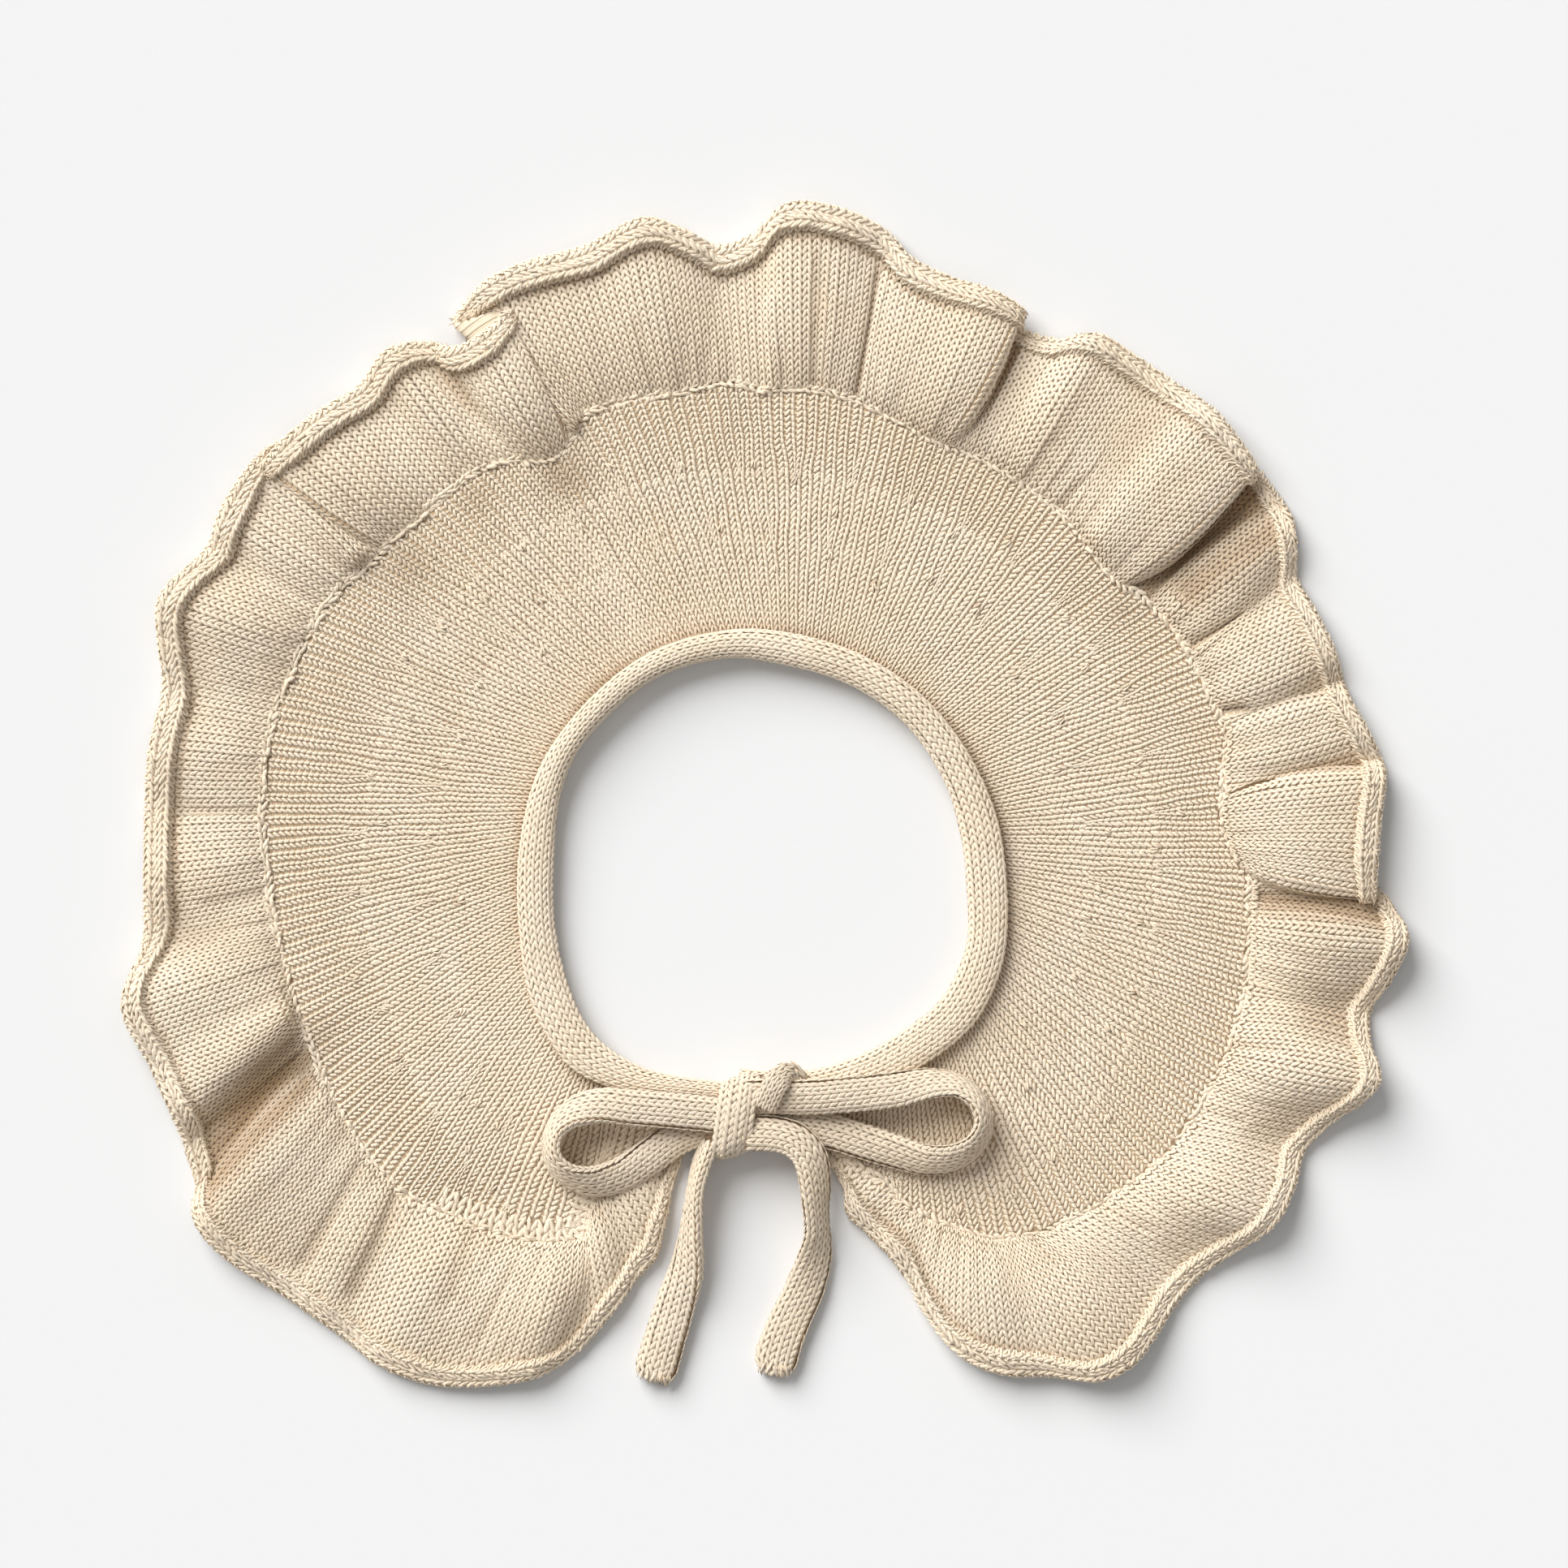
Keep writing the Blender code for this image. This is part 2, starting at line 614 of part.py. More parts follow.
def build_collar():
    """Build every piece of the collar."""
    clear_scene()
    collar = new_collection("knitted_collar")
    guides = new_collection("guides")
    cloth = cloth_material("cotton_knit", CREAM)
    tube = cloth_material("cotton_tube_knit", CREAM_LIGHT)
    places = fold_places()
    loft("yoke", yoke_rings(places), cloth, collar)
    loft("ruffle", ruffle_rings(places), cloth, collar)
    loft("neckband", band_rings(), tube, collar)
    loft("knot", knot_rings(), tube, collar)
    section = tie_section(guides)
    tie("tie_over", TIE_OVER, TIE_OVER_SCALE, section, tube, collar)
    tie("loop_left", LOOP_LEFT, 1.0, section, tube, collar)
    tie("loop_right", LOOP_RIGHT, 1.0, section, tube, collar)
    tie("tail_left", TAIL_LEFT, 1.0, section, tube, collar)
    tie("tail_right", TAIL_RIGHT, 1.0, section, tube, collar)


build_collar()
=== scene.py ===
"""Dresses the knitted collar: every stitch of its yoke, ruffle, neckband and bow, on cloth of their form.

Frame: metres, +X to the right of the laid collar, +Y towards the back of the neck, +Z up from the table.
The tables of folds, bands and ties are the part's own, in millimetres and degrees from the centre of the
neck opening, and the collar is worked out in those units until its meshes are made.
"""
import logging
import math
from dataclasses import dataclass, field
from enum import Enum
from typing import NamedTuple, Sequence

import bmesh
import bpy
import numpy as np
from bpy.types import Material, Mesh, Node, NodeSocket, NodeTree, Object
from numpy import ndarray
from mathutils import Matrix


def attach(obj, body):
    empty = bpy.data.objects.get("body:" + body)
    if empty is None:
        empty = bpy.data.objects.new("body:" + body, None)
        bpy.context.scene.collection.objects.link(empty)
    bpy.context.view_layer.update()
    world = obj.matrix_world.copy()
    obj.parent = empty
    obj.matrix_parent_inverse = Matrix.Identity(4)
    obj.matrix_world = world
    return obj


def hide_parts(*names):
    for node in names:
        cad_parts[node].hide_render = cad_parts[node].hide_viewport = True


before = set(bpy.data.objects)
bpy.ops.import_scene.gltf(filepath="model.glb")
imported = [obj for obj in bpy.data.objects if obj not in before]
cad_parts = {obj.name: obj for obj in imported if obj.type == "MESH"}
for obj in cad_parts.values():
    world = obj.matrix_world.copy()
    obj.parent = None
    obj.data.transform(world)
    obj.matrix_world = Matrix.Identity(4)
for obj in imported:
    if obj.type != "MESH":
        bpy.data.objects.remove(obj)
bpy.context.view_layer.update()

Colour = tuple[float, float, float, float]

LOG = logging.getLogger("collar")
MM = 0.001
BODY = "root"

# Where the centre of the neck opening lies in the frame, in millimetres
NECK_CENTRE = np.array((-0.3, -18.1, 0.0))
UP = np.array((0.0, 0.0, 1.0))

# Cloth and ties, as in the part
RUFFLE_WALL = 1.4
SEAM_GAP = 0.3
SEAM_HEIGHT = 1.0
BAND_BASE = 2.3
NECK_EDGE_INSET = 1.0
TIE_WIDTH = 8.8
TIE_THICKNESS = 3.8
FOLD_RISE = 2.2
# In how many small steps the whole seam is followed
SEAM_STEPS = 1800


class Fold(NamedTuple):
    """A crest, trough or edge of a fold: where it starts on the seam and where it meets the hem."""

    seam_deg: float
    seam_mm: float
    hem_deg: float
    hem_mm: float
    crest_mm: float
    roll_mm: float


class Band(NamedTuple):
    """A section of the neckband."""

    deg: float
    radius_mm: float
    width_mm: float
    height_mm: float


class Fan(NamedTuple):
    """Which place on the neck edge a place on the seam is knitted from."""

    seam_share: float
    neck_share: float


class Turn(NamedTuple):
    """A point on the route of a tie, and how far the flat tie is turned up on its edge there."""

    x_mm: float
    y_mm: float
    z_mm: float
    tilt_deg: float


class Wrap(NamedTuple):
    """A section of the knot."""

    x_mm: float
    y_mm: float
    half_y_mm: float
    low_mm: float
    high_mm: float


class Crease(NamedTuple):
    """A crease laid in the ruffle: its angles, the stretch across that it takes, depth and width."""

    seam_deg: float
    hem_deg: float
    start: float
    end: float
    depth_mm: float
    width_mm: float


class PaintedShadow(NamedTuple):
    """A painted shadow on the yoke at the foot of a fold: its place, its spread and how dark it is painted.
    """

    deg: float
    radius_mm: float
    spread_mm: float
    share: float


class RollPoint(NamedTuple):
    """A point on the rolled hem: its share of the roll's width from the outer edge, and of its height."""

    width_share: float
    height_share: float


class HemChain(NamedTuple):
    """A chain of stitches on the rolled hem: its row, its share of the roll, and the way its Vs point."""

    row: float
    width_share: float
    yarn_mm: float
    along: float
    across: float


class Station(NamedTuple):
    """A section of one leg of a stitch, in wales, courses and shares of the yarn's height."""

    x: float
    y: float
    z: float
    half_width: float
    half_height: float


class Corner(NamedTuple):
    """A corner of a leg's section, in half widths and half heights, and how high on the yarn it lies."""

    across: float
    up: float
    height: float


class FrayRing(NamedTuple):
    """A ring of loose loops at a cut end: its share of the rim, their number, and how far they stand out."""

    share: float
    loops: int
    out_mm: float


class Wave(NamedTuple):
    """One of the waves in an uneven one: its strength, its pace, and how a seed shifts it."""

    strength: float
    pace: float
    seed_share: float
    shift: float


FOLDS = [Fold(*row) for row in (
    (-80.5, 58.0, -80.5, 62.5, 0.8, 0.2),
    (-76.5, 69.5, -77.0, 75.0, 1.2, 0.6),
    (-72.0, 77.6, -75.8, 82.5, 2.0, 1.2),
    (-69.0, 83.0, -76.4, 88.0, 1.8, 1.6),
    (-67.6, 89.0, -74.2, 94.4, 0.8, 1.8),
    (-66.2, 92.6, -72.0, 101.0, 1.8, 1.8),
    (-64.8, 95.6, -70.6, 110.0, 0.8, 1.8),
    (-63.0, 99.0, -69.6, 120.0, 1.4, 1.8),
    (-61.0, 102.6, -67.6, 131.4, 3.6, 1.8),
    (-59.0, 106.4, -64.4, 139.0, 4.6, 1.8),
    (-57.2, 108.8, -60.4, 144.6, 3.6, 1.6),
    (-55.4, 110.4, -56.6, 151.6, 6.6, 1.4),
    (-54.0, 112.0, -53.4, 153.0, 7.4, 1.4),
    (-52.6, 113.6, -50.2, 151.2, 4.6, 1.4),
    (-50.4, 114.4, -46.6, 148.8, 1.2, 1.4),
    (-47.0, 116.4, -42.4, 148.4, 0.7, 1.4),
    (-42.8, 118.6, -38.4, 150.8, 3.4, 1.4),
    (-38.6, 121.0, -34.6, 154.0, 8.0, 1.2),
    (-34.8, 122.4, -31.2, 153.4, 5.2, 1.2),
    (-31.0, 122.8, -27.6, 151.4, 0.7, 1.4),
    (-26.6, 123.2, -23.6, 154.4, 3.4, 1.4),
    (-22.0, 123.6, -19.2, 161.0, 9.6, 1.2),
    (-18.0, 123.2, -16.4, 156.6, 4.2, 1.2),
    (-14.4, 122.8, -13.2, 154.6, 0.7, 1.4),
    (-10.4, 121.8, -9.8, 157.8, 5.2, 1.4),
    (-6.6, 121.0, -6.4, 160.2, 9.4, 1.4),
    (-3.6, 120.4, -4.2, 158.6, 6.0, 1.4),
    (-1.2, 120.2, -2.2, 153.0, 0.7, 0.2),
    (0.2, 119.4, -1.4, 151.6, 3.4, 0.0),
    (0.8, 118.2, -2.8, 151.4, 6.8, 0.6),
    (2.6, 115.8, 0.6, 151.6, 8.6, 1.6),
    (5.6, 114.2, 5.0, 153.2, 8.2, 1.6),
    (8.4, 114.6, 8.4, 155.4, 7.2, 1.4),
    (9.6, 115.2, 9.8, 155.6, 1.6, 1.2),
    (12.6, 116.6, 13.0, 153.4, 4.6, 1.4),
    (15.6, 118.8, 16.0, 151.2, 4.2, 1.4),
    (17.8, 118.8, 18.0, 151.0, 0.8, 1.2),
    (20.4, 118.4, 20.8, 151.2, 5.4, 1.4),
    (24.0, 118.0, 24.6, 150.8, 4.6, 1.4),
    (27.0, 117.8, 29.0, 150.8, 0.8, 1.4),
    (31.0, 117.2, 33.0, 156.8, 7.0, 1.4),
    (34.2, 115.8, 36.6, 157.6, 4.0, 1.0),
    (36.2, 114.8, 40.4, 157.2, 0.7, 0.1),
    (37.0, 114.0, 41.0, 157.0, 3.6, 0.0),
    (37.8, 113.2, 39.0, 157.0, 7.2, 0.8),
    (40.0, 112.2, 41.4, 158.0, 9.8, 1.4),
    (44.2, 112.8, 45.8, 158.6, 7.4, 1.6),
    (49.4, 114.2, 51.2, 157.2, 3.2, 1.6),
    (53.4, 114.6, 54.6, 156.6, 4.6, 1.6),
    (57.4, 114.6, 57.8, 156.0, 6.6, 1.6),
    (60.6, 114.6, 60.4, 150.6, 2.6, 1.4),
    (63.4, 114.4, 63.6, 148.4, 0.7, 0.8),
    (65.0, 114.2, 67.2, 150.0, 0.7, 0.1),
    (65.8, 114.0, 67.8, 151.2, 3.6, 0.0),
    (66.5, 114.0, 65.2, 152.4, 7.0, 0.8),
    (68.6, 114.0, 68.0, 153.6, 8.8, 1.6),
    (72.6, 115.2, 72.4, 153.4, 5.8, 1.8),
    (76.0, 116.6, 76.4, 155.6, 4.2, 2.0),
    (78.6, 117.6, 79.0, 160.6, 2.2, 2.0),
    (82.4, 118.8, 83.4, 164.4, 5.8, 2.2),
    (86.6, 118.6, 87.8, 164.8, 5.8, 2.2),
    (90.0, 118.2, 90.4, 158.0, 1.8, 2.2),
    (94.0, 120.2, 94.4, 155.0, 0.7, 2.2),
    (97.2, 120.0, 97.4, 159.6, 4.4, 2.2),
    (100.4, 119.2, 100.4, 163.6, 7.0, 2.2),
    (105.4, 120.2, 106.0, 160.4, 4.6, 2.2),
    (110.6, 120.6, 112.0, 161.2, 4.8, 2.0),
    (112.6, 119.2, 115.8, 160.4, 2.2, 1.6),
    (113.8, 117.0, 119.2, 156.8, 0.7, 0.1),
    (114.4, 116.0, 119.6, 155.4, 3.6, 0.0),
    (115.0, 115.0, 114.8, 152.4, 7.0, 0.8),
    (117.0, 114.0, 117.6, 149.4, 9.6, 1.8),
    (119.6, 115.8, 120.6, 149.8, 7.2, 1.8),
    (121.8, 118.8, 122.4, 154.4, 1.6, 1.8),
    (125.8, 121.0, 126.0, 158.8, 3.8, 2.0),
    (129.6, 121.2, 129.8, 156.2, 1.4, 2.0),
    (134.0, 121.4, 134.2, 158.0, 5.6, 2.0),
    (138.2, 122.4, 138.4, 159.2, 8.6, 2.0),
    (140.0, 122.4, 141.2, 159.4, 6.8, 0.8),
    (140.7, 122.5, 138.6, 159.8, 3.5, 0.0),
    (141.4, 122.6, 139.4, 161.0, 0.7, 0.1),
    (144.0, 124.0, 143.6, 161.8, 2.6, 1.8),
    (147.0, 125.4, 146.8, 161.0, 3.8, 2.0),
    (149.6, 126.2, 150.0, 159.4, 1.2, 2.0),
    (154.6, 126.4, 155.8, 163.8, 7.0, 2.0),
    (158.2, 126.6, 159.2, 160.4, 3.8, 2.0),
    (162.0, 126.8, 163.2, 155.6, 0.7, 2.0),
    (167.6, 126.2, 169.0, 155.0, 3.4, 2.0),
    (173.4, 124.8, 174.8, 154.0, 0.8, 2.0),
    (179.4, 123.0, 181.0, 153.4, 4.4, 2.0),
    (185.6, 121.8, 187.0, 155.0, 1.0, 2.0),
    (190.4, 121.2, 192.2, 162.2, 8.0, 1.6),
    (196.4, 120.8, 198.0, 159.4, 5.2, 1.6),
    (199.6, 120.0, 203.8, 158.6, 0.8, 1.6),
    (201.6, 120.0, 207.4, 160.4, 1.8, 1.6),
    (204.8, 120.4, 211.8, 165.6, 9.4, 1.4),
    (210.0, 121.0, 216.2, 164.2, 6.4, 1.4),
    (215.6, 121.0, 221.4, 159.4, 2.6, 1.4),
    (219.6, 120.4, 225.2, 157.2, 3.4, 1.4),
    (223.6, 118.8, 228.4, 156.2, 1.2, 1.4),
    (229.0, 114.6, 232.6, 155.4, 4.8, 1.4),
    (235.0, 110.8, 237.4, 151.8, 3.6, 1.4),
    (239.6, 107.0, 241.6, 145.6, 4.6, 1.4),
    (242.6, 103.4, 245.0, 139.6, 6.2, 1.4),
    (244.1, 100.6, 247.4, 133.4, 2.0, 1.4),
    (243.9, 97.6, 249.4, 126.0, 0.8, 1.4),
    (243.4, 93.6, 251.2, 115.6, 2.6, 1.4),
    (243.3, 89.6, 252.8, 106.8, 0.9, 1.4),
    (243.9, 85.0, 254.4, 100.4, 2.0, 1.4),
    (244.9, 80.0, 254.2, 94.0, 3.0, 1.4),
    (246.3, 74.0, 253.7, 86.6, 1.4, 1.2),
    (248.2, 67.6, 254.0, 77.6, 0.9, 0.8),
    (250.4, 59.6, 253.6, 64.0, 0.8, 0.2),
)]

BANDS = [Band(*row) for row in (
    (-91.2, 53.4, 7.4, 3.8),
    (-80.0, 55.0, 8.4, 3.8),
    (-65.0, 56.2, 9.4, 3.8),
    (-50.0, 57.6, 10.0, 3.8),
    (-35.0, 59.4, 10.2, 3.8),
    (-20.0, 58.2, 9.8, 3.8),
    (-5.0, 55.2, 10.0, 3.8),
    (10.0, 54.1, 9.8, 3.8),
    (25.0, 53.7, 8.8, 4.2),
    (45.0, 53.8, 8.0, 4.6),
    (65.0, 53.9, 8.0, 4.8),
    (85.0, 54.5, 8.0, 5.0),
    (100.0, 56.0, 6.8, 5.4),
    (120.0, 57.0, 6.2, 5.6),
    (145.0, 57.1, 6.0, 5.6),
    (160.0, 56.9, 7.2, 5.0),
    (180.0, 56.2, 8.8, 4.4),
    (195.0, 57.8, 9.0, 4.0),
    (210.0, 61.0, 10.0, 3.8),
    (225.0, 63.4, 9.8, 3.8),
    (238.0, 61.2, 7.5, 3.8),
    (248.0, 58.0, 5.5, 4.2),
    (256.6, 56.2, 4.6, 4.4),
)]

FANS = [Fan(*row) for row in (
    (0.0, 0.0),
    (0.042, 0.071),
    (0.075, 0.113),
    (0.117, 0.143),
    (0.3, 0.305),
    (0.5, 0.505),
    (0.7, 0.7),
    (0.875, 0.87),
    (0.905, 0.914),
    (0.94, 0.944),
    (1.0, 1.0),
)]

LOOP_LEFT = [Turn(*row) for row in (
    (-12.8, -60.4, 8.9, 0),
    (-20.2, -59.6, 8.9, 0),
    (-31.4, -58.8, 8.9, 4),
    (-40.6, -58.2, 8.8, 22),
    (-47.6, -60.4, 7.8, 48),
    (-51.6, -64.8, 7.4, 68),
    (-52.2, -70.0, 7.6, 70),
    (-49.2, -74.6, 7.2, 58),
    (-42.6, -77.0, 6.4, 38),
    (-35.2, -75.4, 5.6, 20),
    (-28.2, -71.0, 4.9, 6),
    (-22.0, -66.6, 4.6, 0),
    (-17.6, -64.6, 4.5, 0),
    (-13.2, -64.0, 4.4, 0),
)]
LOOP_RIGHT = [Turn(*row) for row in (
    (-1.4, -55.9, 8.8, 10),
    (8.6, -56.0, 8.9, 8),
    (15.8, -55.8, 8.9, 4),
    (23.2, -55.2, 8.8, 0),
    (33.0, -54.2, 8.6, -14),
    (41.6, -52.8, 7.8, -44),
    (48.0, -53.6, 7.4, -62),
    (52.6, -57.4, 7.6, -70),
    (54.2, -62.0, 7.6, -70),
    (52.4, -67.2, 7.2, -60),
    (47.4, -70.8, 6.6, -46),
    (40.2, -71.6, 6.0, -36),
    (31.8, -69.4, 5.3, -20),
    (23.2, -66.8, 4.7, -6),
    (14.8, -64.4, 4.5, 0),
    (6.8, -63.4, 4.4, 0),
    (-1.4, -63.2, 4.4, 0),
)]
TAIL_LEFT = [Turn(*row) for row in (
    (-14.2, -69.4, 5.6, 68),
    (-15.4, -73.0, 5.6, 70),
    (-16.4, -77.0, 5.4, 74),
    (-17.2, -82.0, 5.2, 72),
    (-18.0, -90.0, 4.6, 58),
    (-19.2, -99.2, 3.2, 28),
    (-21.6, -107.2, 2.3, 6),
    (-24.4, -116.4, 2.1, 0),
    (-27.0, -125.0, 2.1, 0),
)]
TAIL_RIGHT = [Turn(*row) for row in (
    (-1.4, -65.0, 8.9, -12),
    (3.4, -65.2, 8.9, -12),
    (7.8, -66.8, 8.9, -14),
    (11.0, -70.2, 8.7, -20),
    (12.4, -75.4, 8.0, -32),
    (12.8, -84.0, 6.4, -52),
    (13.0, -90.0, 5.2, -52),
    (12.4, -96.2, 3.6, -28),
    (10.0, -104.0, 2.3, -6),
    (6.6, -111.4, 2.1, 0),
    (3.4, -120.0, 2.1, 0),
    (2.8, -123.4, 2.1, 0),
)]
TIE_OVER = [Turn(*row) for row in (
    (0.4, -58.0, 10.8, 0),
    (1.6, -55.4, 11.8, 0),
    (3.0, -52.6, 12.2, 0),
    (4.9, -50.8, 11.2, 4),
    (6.9, -50.8, 9.4, 8),
    (7.6, -52.6, 7.6, 8),
)]

KNOT = [Wrap(*row) for row in (
    (-12.0, -62.2, 7.6, 1.6, 10.2),
    (-11.2, -62.0, 9.2, 0.6, 11.3),
    (-8.6, -61.4, 10.1, 0.3, 12.0),
    (-5.6, -60.6, 10.2, 0.3, 12.1),
    (-3.0, -60.0, 9.6, 0.6, 11.6),
    (-2.0, -59.7, 8.4, 1.4, 10.8),
)]

# Creases laid into the ruffle between its folds, and low ridges where the depth is negative; each crease,
# though not a ridge, also paints shade along itself, the darker the deeper it is
CREASES = [Crease(*row) for row in (
    (-3.4, -4.8, 0.1, 1.2, 3.0, 4.5),
    (32.6, 33.6, 0.2, 1.2, 2.2, 5.0),
    (36.0, 37.6, 0.05, 1.2, 4.2, 5.5),
    (43.6, 45.0, 0.1, 1.2, -1.8, 5.0),
    (112.9, 115.2, 0.0, 1.2, -2.6, 4.0),
    (142.8, 141.4, 0.1, 1.2, -3.4, 4.5),
    (196.6, 201.6, 0.1, 1.2, -4.0, 6.0),
    (202.2, 207.6, 0.0, 1.2, 3.6, 5.0),
    (204.4, 210.2, 0.1, 1.2, 2.6, 4.5),
    (-54.0, -53.8, 0.0, 0.34, 0.9, 1.4),
    (-45.0, -41.0, 0.0, 0.5, 0.5, 2.0),
    (-28.6, -25.4, 0.0, 0.45, 0.5, 1.8),
    (-20.5, -19.4, 0.0, 0.4, 0.7, 1.3),
    (8.9, 8.8, 0.0, 0.42, 1.7, 1.3),
    (14.2, 14.6, 0.1, 0.8, 0.4, 2.2),
    (19.0, 19.3, 0.0, 0.3, 1.6, 1.5),
    (27.4, 29.0, 0.0, 0.55, 1.4, 1.4),
    (50.6, 50.2, 0.0, 0.3, 0.9, 1.3),
    (55.6, 56.2, 0.3, 0.85, 0.35, 2.0),
    (79.0, 79.2, 0.02, 0.86, 1.4, 1.2),
    (83.8, 84.9, 0.02, 0.8, 1.1, 1.4),
    (88.6, 89.0, 0.0, 0.6, -0.4, 1.6),
    (103.0, 103.2, 0.0, 0.55, 0.4, 1.5),
    (111.4, 112.6, 0.0, 0.4, 0.5, 1.0),
    (112.6, 114.8, 0.0, 0.36, 0.5, 0.9),
    (127.8, 128.2, 0.0, 0.8, 0.35, 2.0),
    (151.6, 152.2, 0.0, 0.5, 0.45, 1.6),
    (164.8, 165.6, 0.1, 0.8, 0.4, 2.2),
    (173.4, 174.4, 0.05, 0.75, 0.8, 1.3),
    (182.8, 183.4, 0.0, 0.6, 0.4, 1.8),
    (216.0, 221.8, 0.1, 0.9, 0.9, 2.4),
    (221.6, 227.0, 0.05, 0.85, 1.0, 2.6),
    (231.8, 235.2, 0.0, 0.6, 0.55, 2.4),
    (237.6, 239.2, 0.2, 0.8, 0.35, 2.0),
)]

# Painted shadows that the folds cast on the yoke by the seam, as soft darker patches in its colour
PAINTED_SHADOWS = [PaintedShadow(*row) for row in (
    (117.0, 108.0, 6.5, 0.5),
    (139.3, 115.0, 6.0, 0.45),
    (128.0, 116.0, 4.5, 0.3),
    (36.0, 110.0, 4.0, 0.3),
    (201.0, 116.0, 4.5, 0.3),
)]

# The rolled hem, from where its inner side rests on the ruffle, over the top and round to its underside
HEM_ROLL = [RollPoint(*row) for row in (
    (1.0, 0.14),
    (0.96, 0.4),
    (0.9, 0.68),
    (0.82, 0.88),
    (0.71, 0.98),
    (0.58, 0.92),
    (0.5, 0.88),
    (0.42, 0.92),
    (0.3, 0.94),
    (0.17, 0.82),
    (0.07, 0.56),
    (0.01, 0.2),
    (-0.02, -0.08),
    (0.02, -0.3),
)]

HEM_CHAINS = [HemChain(*row) for row in (
    (1.6, 0.3, 0.8, 0.4, -1.0),
    (3.9, 0.42, 0.95, -1.0, 0.0),
    (7.5, 0.42, 0.95, 1.0, 0.0),
    (10.5, 0.36, 0.9, 0.3, 1.0),
)]

# One leg of an even stitch, from the closed end of its V to the open end
EVEN_LEG = [Station(*row) for row in (
    (0.02, 0.92, -0.06, 0.0, 0.0),
    (0.13, 0.42, 0.15, 0.2, 0.24),
    (0.36, -0.4, 0.12, 0.21, 0.24),
    (0.5, -0.92, -0.12, 0.0, 0.0),
)]
# The yoke's stitches lean: one leg crosses over and the other runs nearly straight.
CROSSING_LEG = [Station(*row) for row in (
    (0.02, 0.94, -0.06, 0.0, 0.0),
    (-0.1, 0.44, 0.18, 0.185, 0.26),
    (-0.36, -0.42, 0.13, 0.185, 0.26),
    (-0.49, -0.94, -0.12, 0.0, 0.0),
)]
STRAIGHT_LEG = [Station(*row) for row in (
    (0.19, 0.94, -0.06, 0.0, 0.0),
    (0.21, 0.44, 0.16, 0.185, 0.26),
    (0.29, -0.44, 0.14, 0.185, 0.26),
    (0.32, -0.94, -0.1, 0.0, 0.0),
)]
# A leg of the wide chains that lie along the hem
CHAIN_LEG = [Station(*row) for row in (
    (0.02, 1.0, -0.06, 0.0, 0.0),
    (0.12, 0.48, 0.16, 0.17, 0.26),
    (0.37, -0.52, 0.13, 0.175, 0.26),
    (0.49, -1.06, -0.1, 0.0, 0.0),
)]
LEG_SECTION = [Corner(*row) for row in (
    (1.0, -0.35, 0.4),
    (0.5, 0.9, 1.0),
    (-0.5, 0.9, 1.0),
    (-1.0, -0.35, 0.4),
)]
LEG_SIDES = len(LEG_SECTION)
# How far a leg's sections lean against its width, and how high on the yarn its tips count as lying
LEG_SLANT = 0.5
TIP_HEIGHT = 0.25
# How much wider the legs of a full stitch are
FULLER = 1.16
# The share of a stitch's map that stays free round each leg
MAP_MARGIN = 0.04

FRAY = [FrayRing(*row) for row in (
    (1.0, 14, 0.9),
    (0.62, 9, 0.7),
    (0.25, 4, 0.5),
)]

WAVES = [Wave(*row) for row in (
    (1.0, 1.0, 1.0, 0.0),
    (0.6, 2.17, 1.7, 1.3),
    (0.9, 0.43, 2.9, 0.0),
)]


def polar(degrees: ndarray, radius: ndarray, height: ndarray | float = 0.0) -> ndarray:
    """Return points at angles and distances from the centre of the neck.

    Args:
        degrees: the angles.
        radius: the distances in millimetres.
        height: their height, one number or one for each.

    Returns:
        An array with a row for each point.
    """
    angle = np.radians(degrees)
    high = np.broadcast_to(height, np.shape(angle))
    return np.stack((radius * np.cos(angle), radius * np.sin(angle), high), axis=-1)


def column(rows: Sequence[NamedTuple], name: str) -> ndarray:
    """Return one named column of a table."""
    return np.array([getattr(row, name) for row in rows], float)


def unit(vectors: ndarray) -> ndarray:
    """Return vectors with a length of one."""
    return vectors / np.maximum(np.linalg.norm(vectors, axis=-1, keepdims=True), 1e-9)


def smoothstep(values: ndarray) -> ndarray:
    """Return values eased between nought and one."""
    held = np.clip(values, 0.0, 1.0)
    return held * held * (3.0 - 2.0 * held)


def wander(values: ndarray, seed: float) -> ndarray:
    """Return a slow, uneven wave between about -1 and 1 along the values."""
    total = 0.0
    for wave in WAVES:
        total = total + wave.strength * np.sin(wave.pace * values + wave.seed_share * seed + wave.shift)
    return total / sum(wave.strength for wave in WAVES)


class Uneven(NamedTuple):
    """How uneven something is: by how much, and at what pace it changes."""

    amount: float
    pace: float

    def at(self, values: ndarray, seed: float) -> ndarray:
        """Return the unevenness at values."""
        return self.amount * wander(values * self.pace, seed)


class Ramp(NamedTuple):
    """An eased rise from nought to one: where it starts, and over how much it rises."""

    start: float
    over: float

    def at(self, values: ndarray) -> ndarray:
        """Return how far the rise has come at values."""
        return smoothstep((values - self.start) / self.over)


